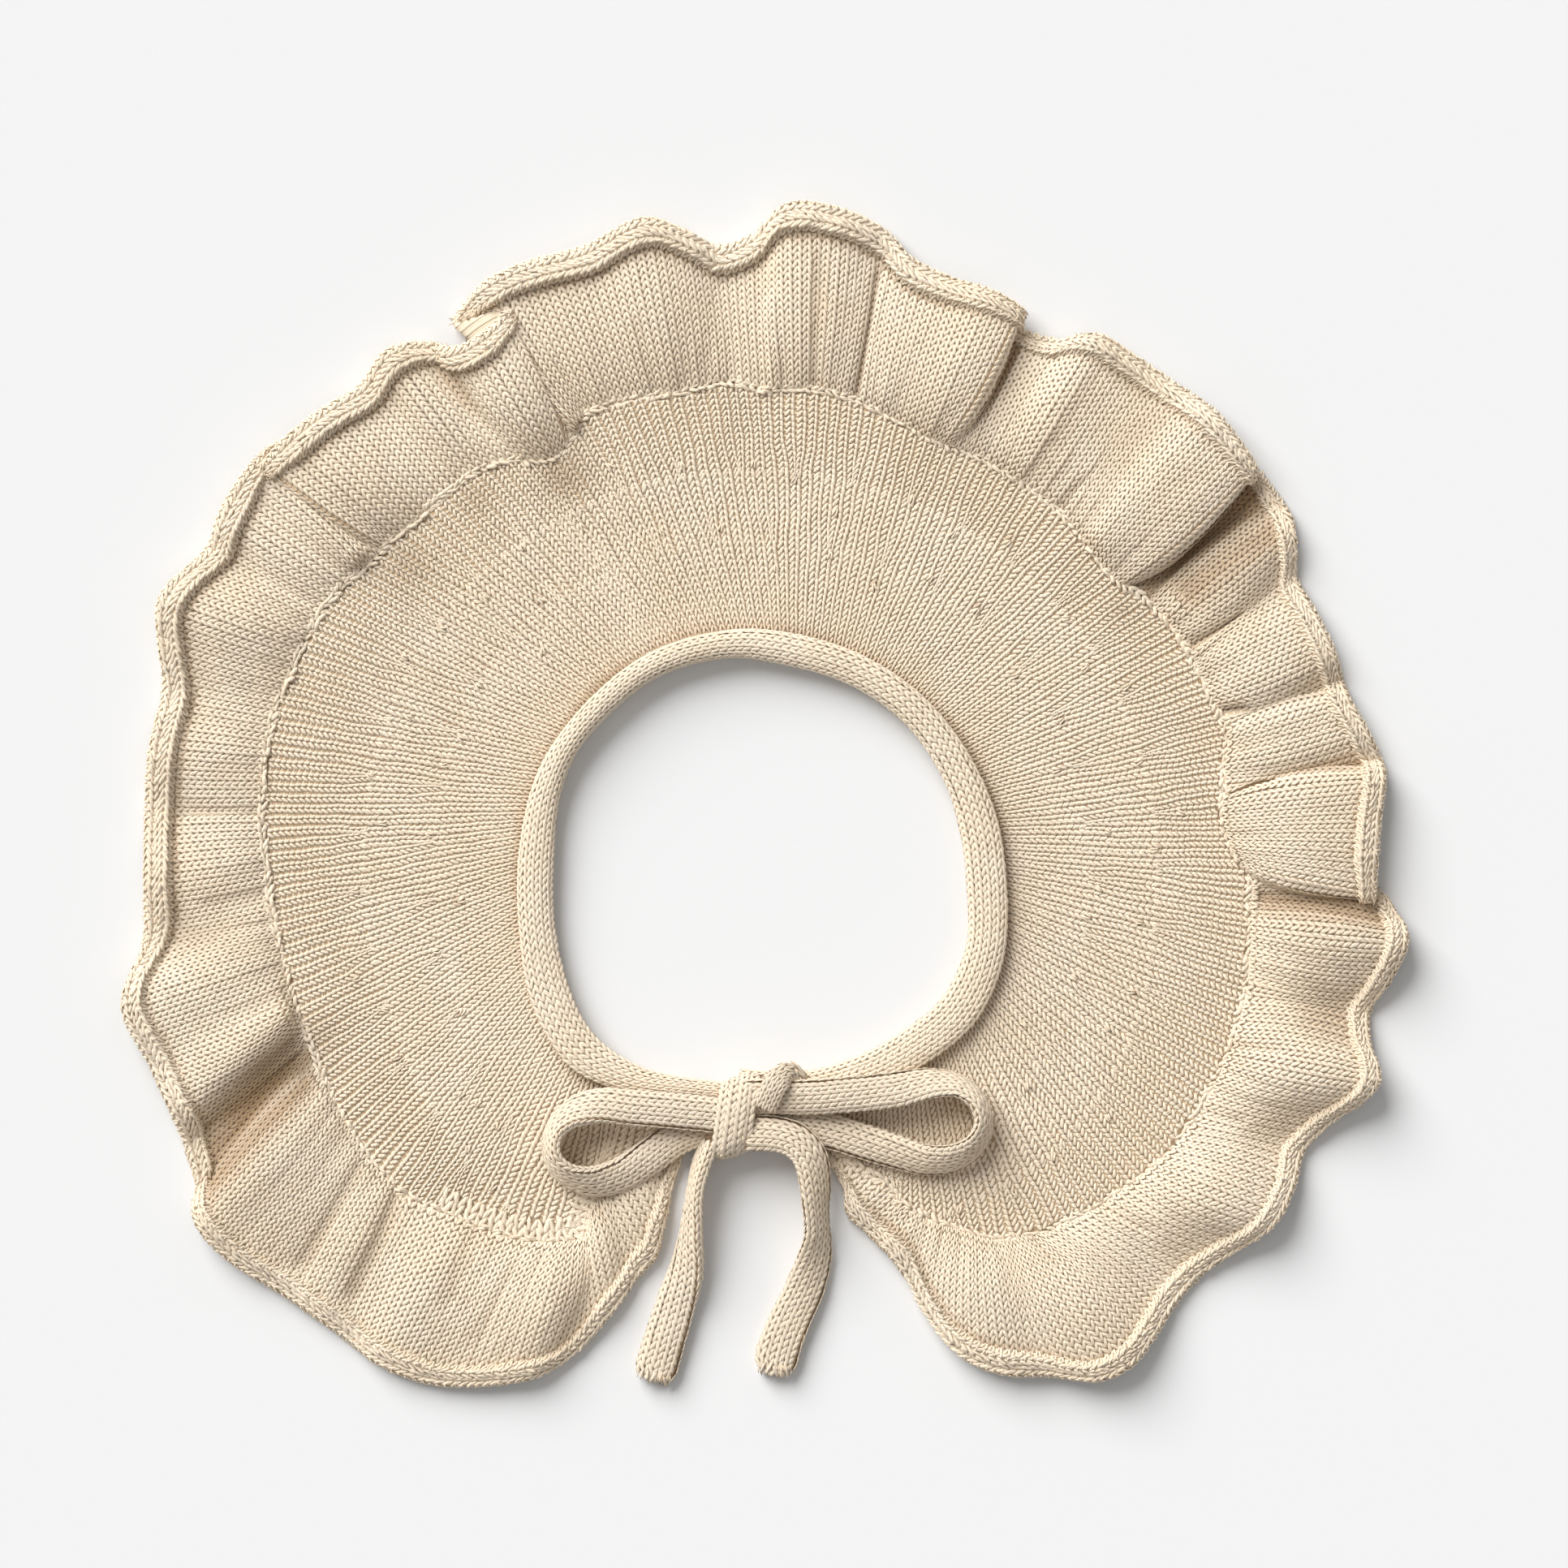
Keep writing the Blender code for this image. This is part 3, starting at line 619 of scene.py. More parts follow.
def curve_through(points: ndarray, places: ndarray) -> ndarray:
    """Return points on the centripetal Catmull-Rom curve through a row of points.

    Args:
        points: the row of points.
        places: where to read the curve; 3.25 lies a quarter of the way from point 3 to point 4.

    Returns:
        An array with a row for each place.
    """
    index = np.clip(places.astype(int), 0, len(points) - 2)
    share = (places - index)[:, None]
    longer = np.vstack((2 * points[0] - points[1], points, 2 * points[-1] - points[-2]))
    before, start, end, after = (longer[index + step] for step in range(4))
    knots = [np.zeros_like(share)]
    for low, high in ((before, start), (start, end), (end, after)):
        gap = np.sqrt(np.linalg.norm(high - low, axis=1))[:, None]
        knots.append(knots[-1] + np.maximum(gap, 1e-4))
    at = knots[1] + share * (knots[2] - knots[1])

    def blend(a: ndarray, b: ndarray, low: int, high: int) -> ndarray:
        """Return the mix of two points between two knots."""
        width = knots[high] - knots[low]
        return a * ((knots[high] - at) / width) + b * ((at - knots[low]) / width)

    first = blend(before, start, 0, 1)
    second = blend(start, end, 1, 2)
    third = blend(end, after, 2, 3)
    return blend(blend(first, second, 0, 2), blend(second, third, 1, 3), 1, 2)


def run_lengths(points: ndarray) -> ndarray:
    """Return the distance along a row of points at each of them."""
    steps = np.linalg.norm(np.diff(points, axis=0), axis=1)
    return np.concatenate(([0.0], np.cumsum(steps)))


def evenly(line: ndarray, pitch: float) -> tuple[ndarray, ndarray]:
    """Return evenly spaced places along a row of points.

    Args:
        line: the row of points.
        pitch: about how far apart the places lie.

    Returns:
        How far along each place lies, and which point it is at, with fractions.
    """
    lengths = run_lengths(line)
    count = round(lengths[-1] / pitch)
    along = (np.arange(count) + 0.5) * lengths[-1] / count
    return along, np.interp(along, lengths, np.arange(len(line)))


def between_points(line: ndarray, at: ndarray) -> ndarray:
    """Return points of a line between its own points."""
    order = np.arange(len(line))
    return np.stack([np.interp(at, order, line[:, axis]) for axis in range(3)], axis=1)


def facing_out(normals: ndarray, from_middle: ndarray) -> ndarray:
    """Return normals turned where needed, so that they point away from the middle."""
    return normals * np.sign(np.sum(normals * from_middle, axis=1))[:, None]


class Spots(NamedTuple):
    """Places on a surface: their points, the ways across and along it there, and the way it faces."""

    points: ndarray
    across: ndarray
    along: ndarray
    normals: ndarray


class Surface:
    """A dense grid of points on a stretch of cloth, rows across it and columns along it."""

    def __init__(self, points: ndarray, closed: bool = False) -> None:
        """Keep the grid, and work out which way the cloth faces at each point.

        Args:
            points: the grid, rows by columns by three.
            closed: whether the rows go all the way round, as on a tube.
        """
        self.closed = closed
        self.points = np.concatenate((points, points[:1]), axis=0) if closed else points
        self.along = np.gradient(self.points, axis=1)
        if closed:
            ring = np.concatenate((points[-1:], self.points, points[1:2]), axis=0)
            self.across = np.gradient(ring, axis=0)[1:-1]
        else:
            self.across = np.gradient(self.points, axis=0)
        self.normals = unit(np.cross(self.across, self.along))

    def read(self, grid: ndarray, rows: ndarray, columns: ndarray) -> ndarray:
        """Return a grid's values between its points.

        Args:
            grid: the points, directions or normals.
            rows: the rows to read, with fractions.
            columns: the columns to read, with fractions.

        Returns:
            An array with a row for each place.
        """
        row = np.clip(rows.astype(int), 0, grid.shape[0] - 2)
        col = np.clip(columns.astype(int), 0, grid.shape[1] - 2)
        down = np.clip(rows - row, 0.0, 1.0)[:, None]
        right = np.clip(columns - col, 0.0, 1.0)[:, None]
        near = grid[row, col] * (1 - right) + grid[row, col + 1] * right
        far = grid[row + 1, col] * (1 - right) + grid[row + 1, col + 1] * right
        return near * (1 - down) + far * down

    def spots(self, rows: ndarray, columns: ndarray) -> Spots:
        """Return what the surface is like at rows and columns, with fractions."""
        grids = (self.points, self.across, self.along, self.normals)
        return Spots(*(self.read(grid, rows, columns) for grid in grids))


@dataclass
class Knitting:
    """Stitches gathered for one piece: where each lies, which way it faces and how big it is."""

    places: list[ndarray] = field(default_factory=list)
    columns: list[ndarray] = field(default_factory=list)
    normals: list[ndarray] = field(default_factory=list)
    sizes: list[ndarray] = field(default_factory=list)
    tones: list[ndarray] = field(default_factory=list)
    shelters: list[ndarray] = field(default_factory=list)

    def add(self, place: ndarray, column_way: ndarray, normal: ndarray, wale: ndarray | float,
            course: ndarray | float, yarn: float, tone: ndarray | float,
            shelter: ndarray | float = 0.0) -> None:
        """Add stitches.

        Args:
            place: the middle of each stitch on the cloth.
            column_way: the way that the closed end of each V points.
            normal: the way that each faces.
            wale: the width of each.
            course: the length of each.
            yarn: the yarn's height.
            tone: how light each is, about nought.
            shelter: how much painted shade each has, from nought to one, where it lies deep among higher
                cloth.
        """
        count = len(place)
        self.places.append(place)
        self.columns.append(unit(column_way))
        self.normals.append(unit(normal))
        sizes = [np.broadcast_to(size, count) for size in (wale, course, yarn)]
        self.sizes.append(np.stack(sizes, axis=1))
        self.tones.append(np.broadcast_to(tone, count))
        self.shelters.append(np.broadcast_to(shelter, count))

    def count(self) -> int:
        """Return how many stitches there are."""
        return sum(len(place) for place in self.places)

    def turns(self) -> ndarray:
        """Return the XYZ Euler turn of each stitch."""
        normal = np.concatenate(self.normals)
        way = np.concatenate(self.columns)
        side = unit(np.cross(way, normal))
        way = np.cross(normal, side)
        about_x = np.arctan2(way[:, 2], normal[:, 2])
        about_y = -np.arcsin(np.clip(side[:, 2], -1.0, 1.0))
        about_z = np.arctan2(side[:, 1], side[:, 0])
        return np.stack((about_x, about_y, about_z), axis=1)

    def point_mesh(self, name: str) -> Mesh:
        """Return a mesh with a point for each stitch, which carries its turn, size, tone and map cell."""
        total = self.count()
        mesh = bpy.data.meshes.new(name)
        mesh.vertices.add(total)
        places = (np.concatenate(self.places) + NECK_CENTRE) * MM
        mesh.vertices.foreach_set("co", places.astype(np.float32).ravel())
        across = cells_across(total)
        order = np.arange(total)
        cells = np.stack((order % across, order // across, np.zeros(total)), axis=1) / across
        values = {"turn": self.turns(), "size": np.concatenate(self.sizes) * MM, "cell": cells}
        for key, array in values.items():
            kept = mesh.attributes.new(key, "FLOAT_VECTOR", "POINT")
            kept.data.foreach_set("vector", array.astype(np.float32).ravel())
        for key, arrays in {"tone": self.tones, "shelter": self.shelters}.items():
            kept = mesh.attributes.new(key, "FLOAT", "POINT")
            kept.data.foreach_set("value", np.concatenate(arrays).astype(np.float32))
        return mesh


def stand(name: str, data: object) -> Object:
    """Return a new object in the scene, by its name and its mesh, light or camera."""
    made = bpy.data.objects.new(name, data)
    bpy.context.scene.collection.objects.link(made)
    return made


def new_node(tree: NodeTree, kind: str, settings: dict | None, inputs: dict | None) -> Node:
    """Add a node to a tree.

    Args:
        tree: the tree.
        kind: the node's type.
        settings: its settings, which are set first.
        inputs: values or links for its sockets, by name or number.

    Returns:
        The node.
    """
    made = tree.nodes.new(kind)
    for key, value in (settings or {}).items():
        setattr(made, key, value)
    for key, value in (inputs or {}).items():
        if isinstance(value, NodeSocket):
            tree.links.new(value, made.inputs[key])
        else:
            made.inputs[key].default_value = value
    return made


def cells_across(total: int) -> int:
    """Return how many map cells lie side by side, so that every stitch has one in a square."""
    return math.ceil(math.sqrt(max(total, 1)))


class StitchForm(Enum):
    """The forms of stitch in the collar, each as its two legs."""

    EVEN = "even"
    FULL = "full"
    LEANING = "leaning"
    CHAIN = "chain"

    def legs(self) -> list[list[Station]]:
        """Return the stations of the two legs."""
        if self is StitchForm.LEANING:
            return [CROSSING_LEG, STRAIGHT_LEG]
        leg = CHAIN_LEG if self is StitchForm.CHAIN else EVEN_LEG
        if self is StitchForm.FULL:
            leg = [point._replace(half_width=point.half_width * FULLER) for point in leg]
        return [[point._replace(x=-point.x) for point in leg], leg]

    def template(self) -> Object:
        """Return a stitch one wale wide, one course long and one yarn high, with a map of its own."""
        work = bmesh.new()
        chart = work.loops.layers.uv.new("strand_map")
        height = work.verts.layers.float.new("height")
        for number, leg in enumerate(self.legs()):
            rings = [leg_ring(work, height, leg, step) for step in range(len(leg))]
            for step, (low, high) in enumerate(zip(rings, rings[1:])):
                for side in range(LEG_SIDES):
                    face_on_leg(work, chart, number, step, side, low, high)
        bmesh.ops.recalc_face_normals(work, faces=work.faces)
        mesh = bpy.data.meshes.new("stitch_" + self.value)
        work.to_mesh(mesh)
        work.free()
        return stand(mesh.name, mesh)


def leg_ring(work: bmesh.types.BMesh, height: object, leg: list[Station], step: int) -> list[object]:
    """Return the points of one section of a leg: one at a tip, and one on each side elsewhere.

    Args:
        work: the mesh that is being made.
        height: the layer that says how high on the yarn a point lies.
        leg: the leg's stations.
        step: which station.

    Returns:
        The section's points.
    """
    point = leg[step]
    if point.half_width == 0.0:
        tip = work.verts.new((point.x, point.y, point.z))
        tip[height] = TIP_HEIGHT
        return [tip]
    lean = math.copysign(LEG_SLANT, leg[-1].x - leg[0].x)
    ring = []
    for corner in LEG_SECTION:
        shift = corner.across * point.half_width
        up = corner.up * point.half_height
        made = work.verts.new((point.x + shift, point.y + lean * shift, point.z + up))
        made[height] = corner.height
        ring.append(made)
    return ring


def face_on_leg(work: bmesh.types.BMesh, chart: object, number: int, step: int, side: int,
                low: list[object], high: list[object]) -> None:
    """Add one face between two sections of a leg, and lay it in its own place on the stitch's map.

    Args:
        work: the mesh that is being made.
        chart: the map's layer.
        number: which leg.
        step: which stretch of the leg.
        side: which side of the leg.
        low: the first section's points.
        high: the second section's points.
    """
    after = (side + 1) % LEG_SIDES
    corners = []
    for ring, end in ((low, step), (high, step + 1)):
        if len(ring) == 1:
            corners.append([(ring[0], side + 0.5, end)])
        elif ring is low:
            corners.append([(ring[side], side, end), (ring[after], side + 1, end)])
        else:
            corners.append([(ring[after], side + 1, end), (ring[side], side, end)])
    flat = corners[0] + corners[1]
    face = work.faces.new([corner[0] for corner in flat])
    half = 0.5 - 2 * MAP_MARGIN
    stretches = len(EVEN_LEG) - 1
    for loop, (_, round_place, long_place) in zip(face.loops, flat):
        across = number * 0.5 + MAP_MARGIN + half * round_place / LEG_SIDES
        loop[chart].uv = (across, MAP_MARGIN + (1 - 2 * MAP_MARGIN) * long_place / stretches)


class StitchTree:
    """The node tree that sets a stitch on every point, a little uneven, as one mesh."""

    SECOND_SEED = 7.0
    FLOOR = (-10.0, -10.0, 0.0)

    def __init__(self) -> None:
        """Build the tree."""
        self.tree = bpy.data.node_groups.new("knit_stitches", "GeometryNodeTree")
        self.sockets: dict[str, str] = {}
        for name, kind in (("Points", "Geometry"), ("Stitch", "Object"), ("Turn spread", "Float"),
                           ("Size spread", "Float"), ("Cell size", "Float"), ("Seed", "Int"),
                           ("Yarn", "Material")):
            made = self.tree.interface.new_socket(name, in_out="INPUT", socket_type="NodeSocket" + kind)
            self.sockets[name] = made.identifier
        self.tree.interface.new_socket("Mesh", in_out="OUTPUT", socket_type="NodeSocketGeometry")
        self.build()

    def node(self, kind: str, settings: dict | None = None, inputs: dict | None = None) -> Node:
        """Return a new node of the tree, with its settings and its sockets' values or links."""
        return new_node(self.tree, kind, settings, inputs)

    def named(self, name: str, kind: str = "FLOAT_VECTOR") -> NodeSocket:
        """Return a named attribute of the points."""
        return self.node("GeometryNodeInputNamedAttribute", {"data_type": kind}, {"Name": name}).outputs[0]

    def vector(self, operation: str, first: object, second: object) -> NodeSocket:
        """Return vector maths on two values."""
        return self.node("ShaderNodeVectorMath", {"operation": operation}, {0: first, 1: second}).outputs[0]

    def spread(self, amount: NodeSocket, seed: NodeSocket) -> NodeSocket:
        """Return a random vector for each point, between minus the amount and the amount."""
        less = self.node("ShaderNodeMath", {"operation": "MULTIPLY"}, {0: amount, 1: -1.0}).outputs[0]
        random = self.node("FunctionNodeRandomValue", {"data_type": "FLOAT_VECTOR"},
                           {"Min": less, "Max": amount, "Seed": seed})
        return random.outputs[0]

    def build(self) -> None:
        """Lay out the nodes: instances on points, realized, mapped, smoothed and given their yarn."""
        given = self.node("NodeGroupInput").outputs
        second = self.node("ShaderNodeMath", {"operation": "ADD"}, {0: given["Seed"], 1: self.SECOND_SEED})
        turn = self.vector("ADD", self.named("turn"), self.spread(given["Turn spread"], given["Seed"]))
        uneven = self.vector("ADD", self.spread(given["Size spread"], second.outputs[0]), (1.0, 1.0, 1.0))
        size = self.vector("MULTIPLY", self.named("size"), uneven)
        stitch = self.node("GeometryNodeObjectInfo", None, {"Object": given["Stitch"]})
        rotation = self.node("FunctionNodeEulerToRotation", None, {0: turn}).outputs[0]
        laid = self.node("GeometryNodeInstanceOnPoints", None, {
            "Points": given["Points"], "Instance": stitch.outputs["Geometry"],
            "Rotation": rotation, "Scale": size,
        })
        real = self.node("GeometryNodeRealizeInstances", None, {"Geometry": laid.outputs[0]})
        scaled = self.node("ShaderNodeVectorMath", {"operation": "SCALE"},
                           {0: self.named("strand_map"), "Scale": given["Cell size"]}).outputs[0]
        place = self.vector("ADD", self.named("cell"), scaled)
        mapped = self.node("GeometryNodeStoreNamedAttribute", {"data_type": "FLOAT2", "domain": "CORNER"},
                           {"Geometry": real.outputs[0], "Name": "OFBake", "Value": place})
        where = self.node("GeometryNodeInputPosition").outputs[0]
        above = self.vector("MAXIMUM", where, self.FLOOR)
        resting = self.node("GeometryNodeSetPosition", None,
                            {"Geometry": mapped.outputs[0], "Position": above})
        smooth = self.node("GeometryNodeSetShadeSmooth", None, {0: resting.outputs[0]})
        dressed = self.node("GeometryNodeSetMaterial", None,
                            {"Geometry": smooth.outputs[0], "Material": given["Yarn"]})
        self.node("NodeGroupOutput", None, {0: dressed.outputs[0]})

    def knit(self, name: str, knitting: Knitting, form: StitchForm, yarn: Material,
             seed: int, turn_spread: float = 0.07, size_spread: float = 0.06) -> Object:
        """Knit a piece.

        Args:
            name: the piece's name.
            knitting: its stitches.
            form: the form of the stitches.
            yarn: the finish of the yarn.
            seed: the seed of its unevenness.
            turn_spread: how far a stitch may be turned, in radians.
            size_spread: how far its size may differ, as a share.

        Returns:
            The piece, as a plain mesh.
        """
        piece = stand(name, knitting.point_mesh(name + "_points"))
        template = form.template()
        modifier = piece.modifiers.new("knitting", "NODES")
        modifier.node_group = self.tree
        values = {
            "Stitch": template, "Turn spread": turn_spread, "Size spread": size_spread,
            "Cell size": 1.0 / cells_across(knitting.count()), "Seed": seed, "Yarn": yarn,
        }
        for key, value in values.items():
            modifier[self.sockets[key]] = value
        points = piece.data
        graph = bpy.context.evaluated_depsgraph_get()
        mesh = bpy.data.meshes.new_from_object(piece.evaluated_get(graph))
        piece.modifiers.clear()
        piece.data = mesh
        mesh.name = name
        bpy.data.meshes.remove(points)
        bpy.data.objects.remove(template, do_unlink=True)
        for key in ("turn", "size", "cell"):
            if key in mesh.attributes:
                mesh.attributes.remove(mesh.attributes[key])
        return piece


def skin(name: str, rings: ndarray, chart: ndarray, finish: Material,
         upper: int | None = None) -> Object:
    """Make one closed body through rings.

    Args:
        name: the piece's name.
        rings: the rings, in order, as an array of rings by points by three.
        chart: the map's values at each point of each ring, with one point more to close the ring.
        finish: its material.
        upper: how many points of each ring lie on the upper side, or None for all.

    Returns:
        The piece.
    """
    total, count, _ = rings.shape
    places = (rings.reshape(-1, 3) + NECK_CENTRE) * MM
    ring, side = np.meshgrid(np.arange(total - 1), np.arange(count), indexing="ij")
    after = (side + 1) % count
    low, high = ring * count, (ring + 1) * count
    faces = np.stack((low + side, low + after, high + after, high + side), axis=-1).reshape(-1, 4)
    caps = [list(range(count)), list(range((total - 1) * count, total * count))[::-1]]
    mesh = bpy.data.meshes.new(name)
    mesh.from_pydata(places.tolist(), [], faces.tolist() + caps)
    layer = mesh.uv_layers.new(name="knit_map")
    corners = np.stack((chart[ring, side], chart[ring, side + 1], chart[ring + 1, side + 1],
                        chart[ring + 1, side]), axis=2).reshape(-1, 2)
    ends = np.concatenate((chart[0, :count], chart[-1, :count][::-1]))
    layer.uv.foreach_set("vector", np.concatenate((corners, ends)).astype(np.float32).ravel())
    under = np.arange(count) >= (count if upper is None else upper)
    mark = mesh.attributes.new("underside", "FLOAT", "POINT")
    mark.data.foreach_set("value", np.tile(under, total).astype(np.float32))
    work = bmesh.new()
    work.from_mesh(mesh)
    bmesh.ops.recalc_face_normals(work, faces=work.faces)
    work.to_mesh(mesh)
    work.free()
    mesh.shade_smooth()
    mesh.materials.append(finish)
    return stand(name, mesh)


def settle(piece: Object, slot: str, *nodes: str) -> Object:
    """Let a finished piece ride on the collar, and hide the nodes that it replaces."""
    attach(piece, BODY)
    if nodes:
        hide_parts(*nodes)
    LOG.info("%s: %d faces", piece.name, len(piece.data.polygons))
    return piece


class Shade:
    """A shader value that takes part in Python expressions."""

    def __init__(self, graph: "ShaderGraph", socket: NodeSocket) -> None:
        """Keep the socket and its graph."""
        self.graph = graph
        self.socket = socket

    def maths(self, operation: str, first: object, second: object) -> "Shade":
        """Return a Math node's result."""
        return self.graph.node("ShaderNodeMath", {"operation": operation}, {0: first, 1: second})

    def __add__(self, other: object) -> "Shade":
        """Return the sum."""
        return self.maths("ADD", self, other)

    __radd__ = __add__

    def __sub__(self, other: object) -> "Shade":
        """Return the difference."""
        return self.maths("SUBTRACT", self, other)

    def __rsub__(self, other: object) -> "Shade":
        """Return the difference from another value."""
        return self.maths("SUBTRACT", other, self)

    def __mul__(self, other: object) -> "Shade":
        """Return the product."""
        return self.maths("MULTIPLY", self, other)

    __rmul__ = __mul__


class ShaderGraph:
    """The nodes of one material."""

    def __init__(self, name: str) -> None:
        """Start a material with its Principled BSDF."""
        self.material = bpy.data.materials.new(name)
        self.material.use_nodes = True
        self.tree = self.material.node_tree
        self.shader = self.tree.nodes["Principled BSDF"]

    def node(self, kind: str, settings: dict | None = None, inputs: dict | None = None,
             output: int | str = 0) -> Shade:
        """Return an output of a new node.

        Args:
            kind: the node's type.
            settings: its settings, which are set first.
            inputs: values or shades for its sockets, by name or number.
            output: which output to return.

        Returns:
            The output, wrapped.
        """
        plain = {key: getattr(value, "socket", value) for key, value in (inputs or {}).items()}
        return Shade(self, new_node(self.tree, kind, settings, plain).outputs[output])

    def mark(self, name: str, output: str = "Fac") -> Shade:
        """Return a named attribute of the piece."""
        return self.node("ShaderNodeAttribute", {"attribute_name": name}, None, output)

    def blend(self, factor: object, first: object, second: object, way: str = "MIX") -> Shade:
        """Return two colours mixed.

        Args:
            factor: how much of the second.
            first: the first colour.
            second: the second colour.
            way: the blend type.

        Returns:
            The mixed colour.
        """
        settings = {"data_type": "RGBA", "blend_type": way}
        return self.node("ShaderNodeMix", settings, {0: factor, 6: first, 7: second}, 2)

    def noise(self, where: Shade, scale: float, detail: float) -> Shade:
        """Return soft noise at places, at a scale and with a detail."""
        return self.node("ShaderNodeTexNoise", None, {"Vector": where, "Scale": scale, "Detail": detail})

    def map_parts(self, name: str) -> tuple[Shade, Shade]:
        """Return the two values of a UV map: the one across and the one along."""
        place = self.node("ShaderNodeUVMap", {"uv_map": name}, None, "UV")
        across = self.node("ShaderNodeSeparateXYZ", None, {0: place})
        return across, Shade(self, across.socket.node.outputs["Y"])

    def bump(self, height: Shade, strength: float, depth: float) -> Shade:
        """Return a normal bumped by a height, at a strength and to a depth in metres."""
        return self.node("ShaderNodeBump", None, {"Strength": strength, "Distance": depth, "Height": height})

    def ease(self, value: object, low: float, high: float) -> Shade:
        """Return a value eased from nought at low to one at high."""
        return self.node("ShaderNodeMapRange", {"interpolation_type": "SMOOTHSTEP"},
                         {"Value": value, "From Min": low, "From Max": high})

    def set(self, **values: object) -> None:
        """Set or link sockets of the Principled BSDF, whose spaces are written as underscores."""
        for key, value in values.items():
            socket = self.shader.inputs[key.replace("_", " ")]
            if isinstance(value, Shade):
                self.tree.links.new(value.socket, socket)
            else:
                socket.default_value = value


@dataclass(frozen=True)
class YarnFinish:
    """Matt plied cotton, light on the crown of the yarn, with painted shade: warm brown low on the yarn
    between the stitches, and deep brown where it lies in hollows.
    """

    name: str
    crown: Colour = (0.9, 0.774, 0.61, 1.0)
    shade_paint: Colour = (0.78, 0.61, 0.42, 1.0)
    patch: Colour = (0.885, 0.745, 0.568, 1.0)
    sheltered: Colour = (0.42, 0.28, 0.155, 1.0)
    fibre_scale: float = 3200.0
    fibre_detail: float = 3.0
    fibre_tone: float = 0.18
    fibre_bump: float = 0.6
    patch_scale: float = 60.0
    patch_detail: float = 2.0
    patch_range: tuple[float, float] = (0.35, 0.65)
    ply_turns: float = 26.0
    ply_slant: float = 2.0
    ply_tone: float = 0.03
    ply_bump: float = 0.35
    crown_height: float = 0.85
    bump_strength: float = 0.35
    bump_depth: float = 0.00025
    roughness: float = 0.88
    sheen: float = 0.12
    sheen_roughness: float = 0.5
    gloss: float = 0.2

    def material(self) -> Material:
        """Return the yarn's material."""
        graph = ShaderGraph(self.name)
        where = graph.node("ShaderNodeTexCoord", None, None, "Object")
        patch = graph.noise(where, self.patch_scale, self.patch_detail)
        fibre = graph.noise(where, self.fibre_scale, self.fibre_detail)
        around, length = graph.map_parts("strand_map")
        turned = (length + around * self.ply_slant) * self.ply_turns
        twist = graph.node("ShaderNodeMath", {"operation": "SINE"}, {0: turned})
        yarn = graph.blend(graph.ease(patch, *self.patch_range), self.crown, self.patch)
        # Painted shade: the low sides of the yarn take the brown shade colour, and stitches deep among higher
        # cloth take the deep shade colour
        high = graph.ease(graph.mark("height"), 0.0, self.crown_height)
        shaded = graph.blend(high, self.shade_paint, yarn)
        shaded = graph.blend(graph.mark("shelter"), shaded, self.sheltered)
        value = 1.0 + graph.mark("tone") + (fibre - 0.5) * self.fibre_tone + twist * self.ply_tone
        grey = graph.node("ShaderNodeCombineXYZ", None, {0: value, 1: value, 2: value})
        colour = graph.node("ShaderNodeVectorMath", {"operation": "MULTIPLY"}, {0: shaded, 1: grey})
        relief = fibre * self.fibre_bump + twist * self.ply_bump
        bump = graph.bump(relief, self.bump_strength, self.bump_depth)
        graph.set(Base_Color=colour, Normal=bump, Roughness=self.roughness, Sheen_Weight=self.sheen,
                  Sheen_Roughness=self.sheen_roughness, Specular_IOR_Level=self.gloss)
        return graph.material


@dataclass(frozen=True)
class GroundFinish:
    """The cloth behind the stitches: painted brown shade in the holes between light rungs above, and purl
    bars underneath.
    """

    name: str
    shade_paint: Colour = (0.58, 0.42, 0.26, 1.0)
    rung: Colour = (0.86, 0.73, 0.55, 1.0)
    purl: Colour = (0.86, 0.75, 0.58, 1.0)
    bar_range: tuple[float, float] = (-0.2, 0.7)
    bump_strength: float = 0.6
    bump_depth: float = 0.0005
    roughness: float = 0.95
    gloss: float = 0.1

    def material(self) -> Material:
        """Return the ground's material."""
        graph = ShaderGraph(self.name)
        _, course = graph.map_parts("knit_map")
        wave = graph.node("ShaderNodeMath", {"operation": "COSINE"}, {0: course * (2 * math.pi)})
        bars = graph.ease(wave, *self.bar_range)
        # Painted shade: the holes between the rungs are brown
        top = graph.blend(bars, self.shade_paint, self.rung)
        under = graph.blend(bars, self.rung, self.purl)
        colour = graph.blend(graph.mark("underside"), top, under)
        bump = graph.bump(bars, self.bump_strength, self.bump_depth)
        graph.set(Base_Color=colour, Normal=bump, Roughness=self.roughness, Specular_IOR_Level=self.gloss)
        return graph.material


@dataclass(frozen=True)
class FloorFinish:
    """The plain pale floor."""

    name: str = "pale_floor"
    colour: Colour = (0.86, 0.86, 0.86, 1.0)

    def material(self) -> Material:
        """Return the floor's material."""
        graph = ShaderGraph(self.name)
        graph.set(Base_Color=self.colour, Roughness=1.0, Specular_IOR_Level=0.0)
        return graph.material


# The lighter painted shade between the stitches of close cloth, and the duller yarn of the ties
CLOSE_SHADE_PAINT = (0.73, 0.565, 0.38, 1.0)
TIE_CROWN = (0.815, 0.698, 0.55, 1.0)
TIE_PATCH = (0.8, 0.675, 0.515, 1.0)


@dataclass
class Workshop:
    """What every sub-assembly is made with: the stitch tree and the finishes."""

    stitches: StitchTree
    knit: Material
    tube: Material
    tie: Material
    ground: Material
    close_ground: Material


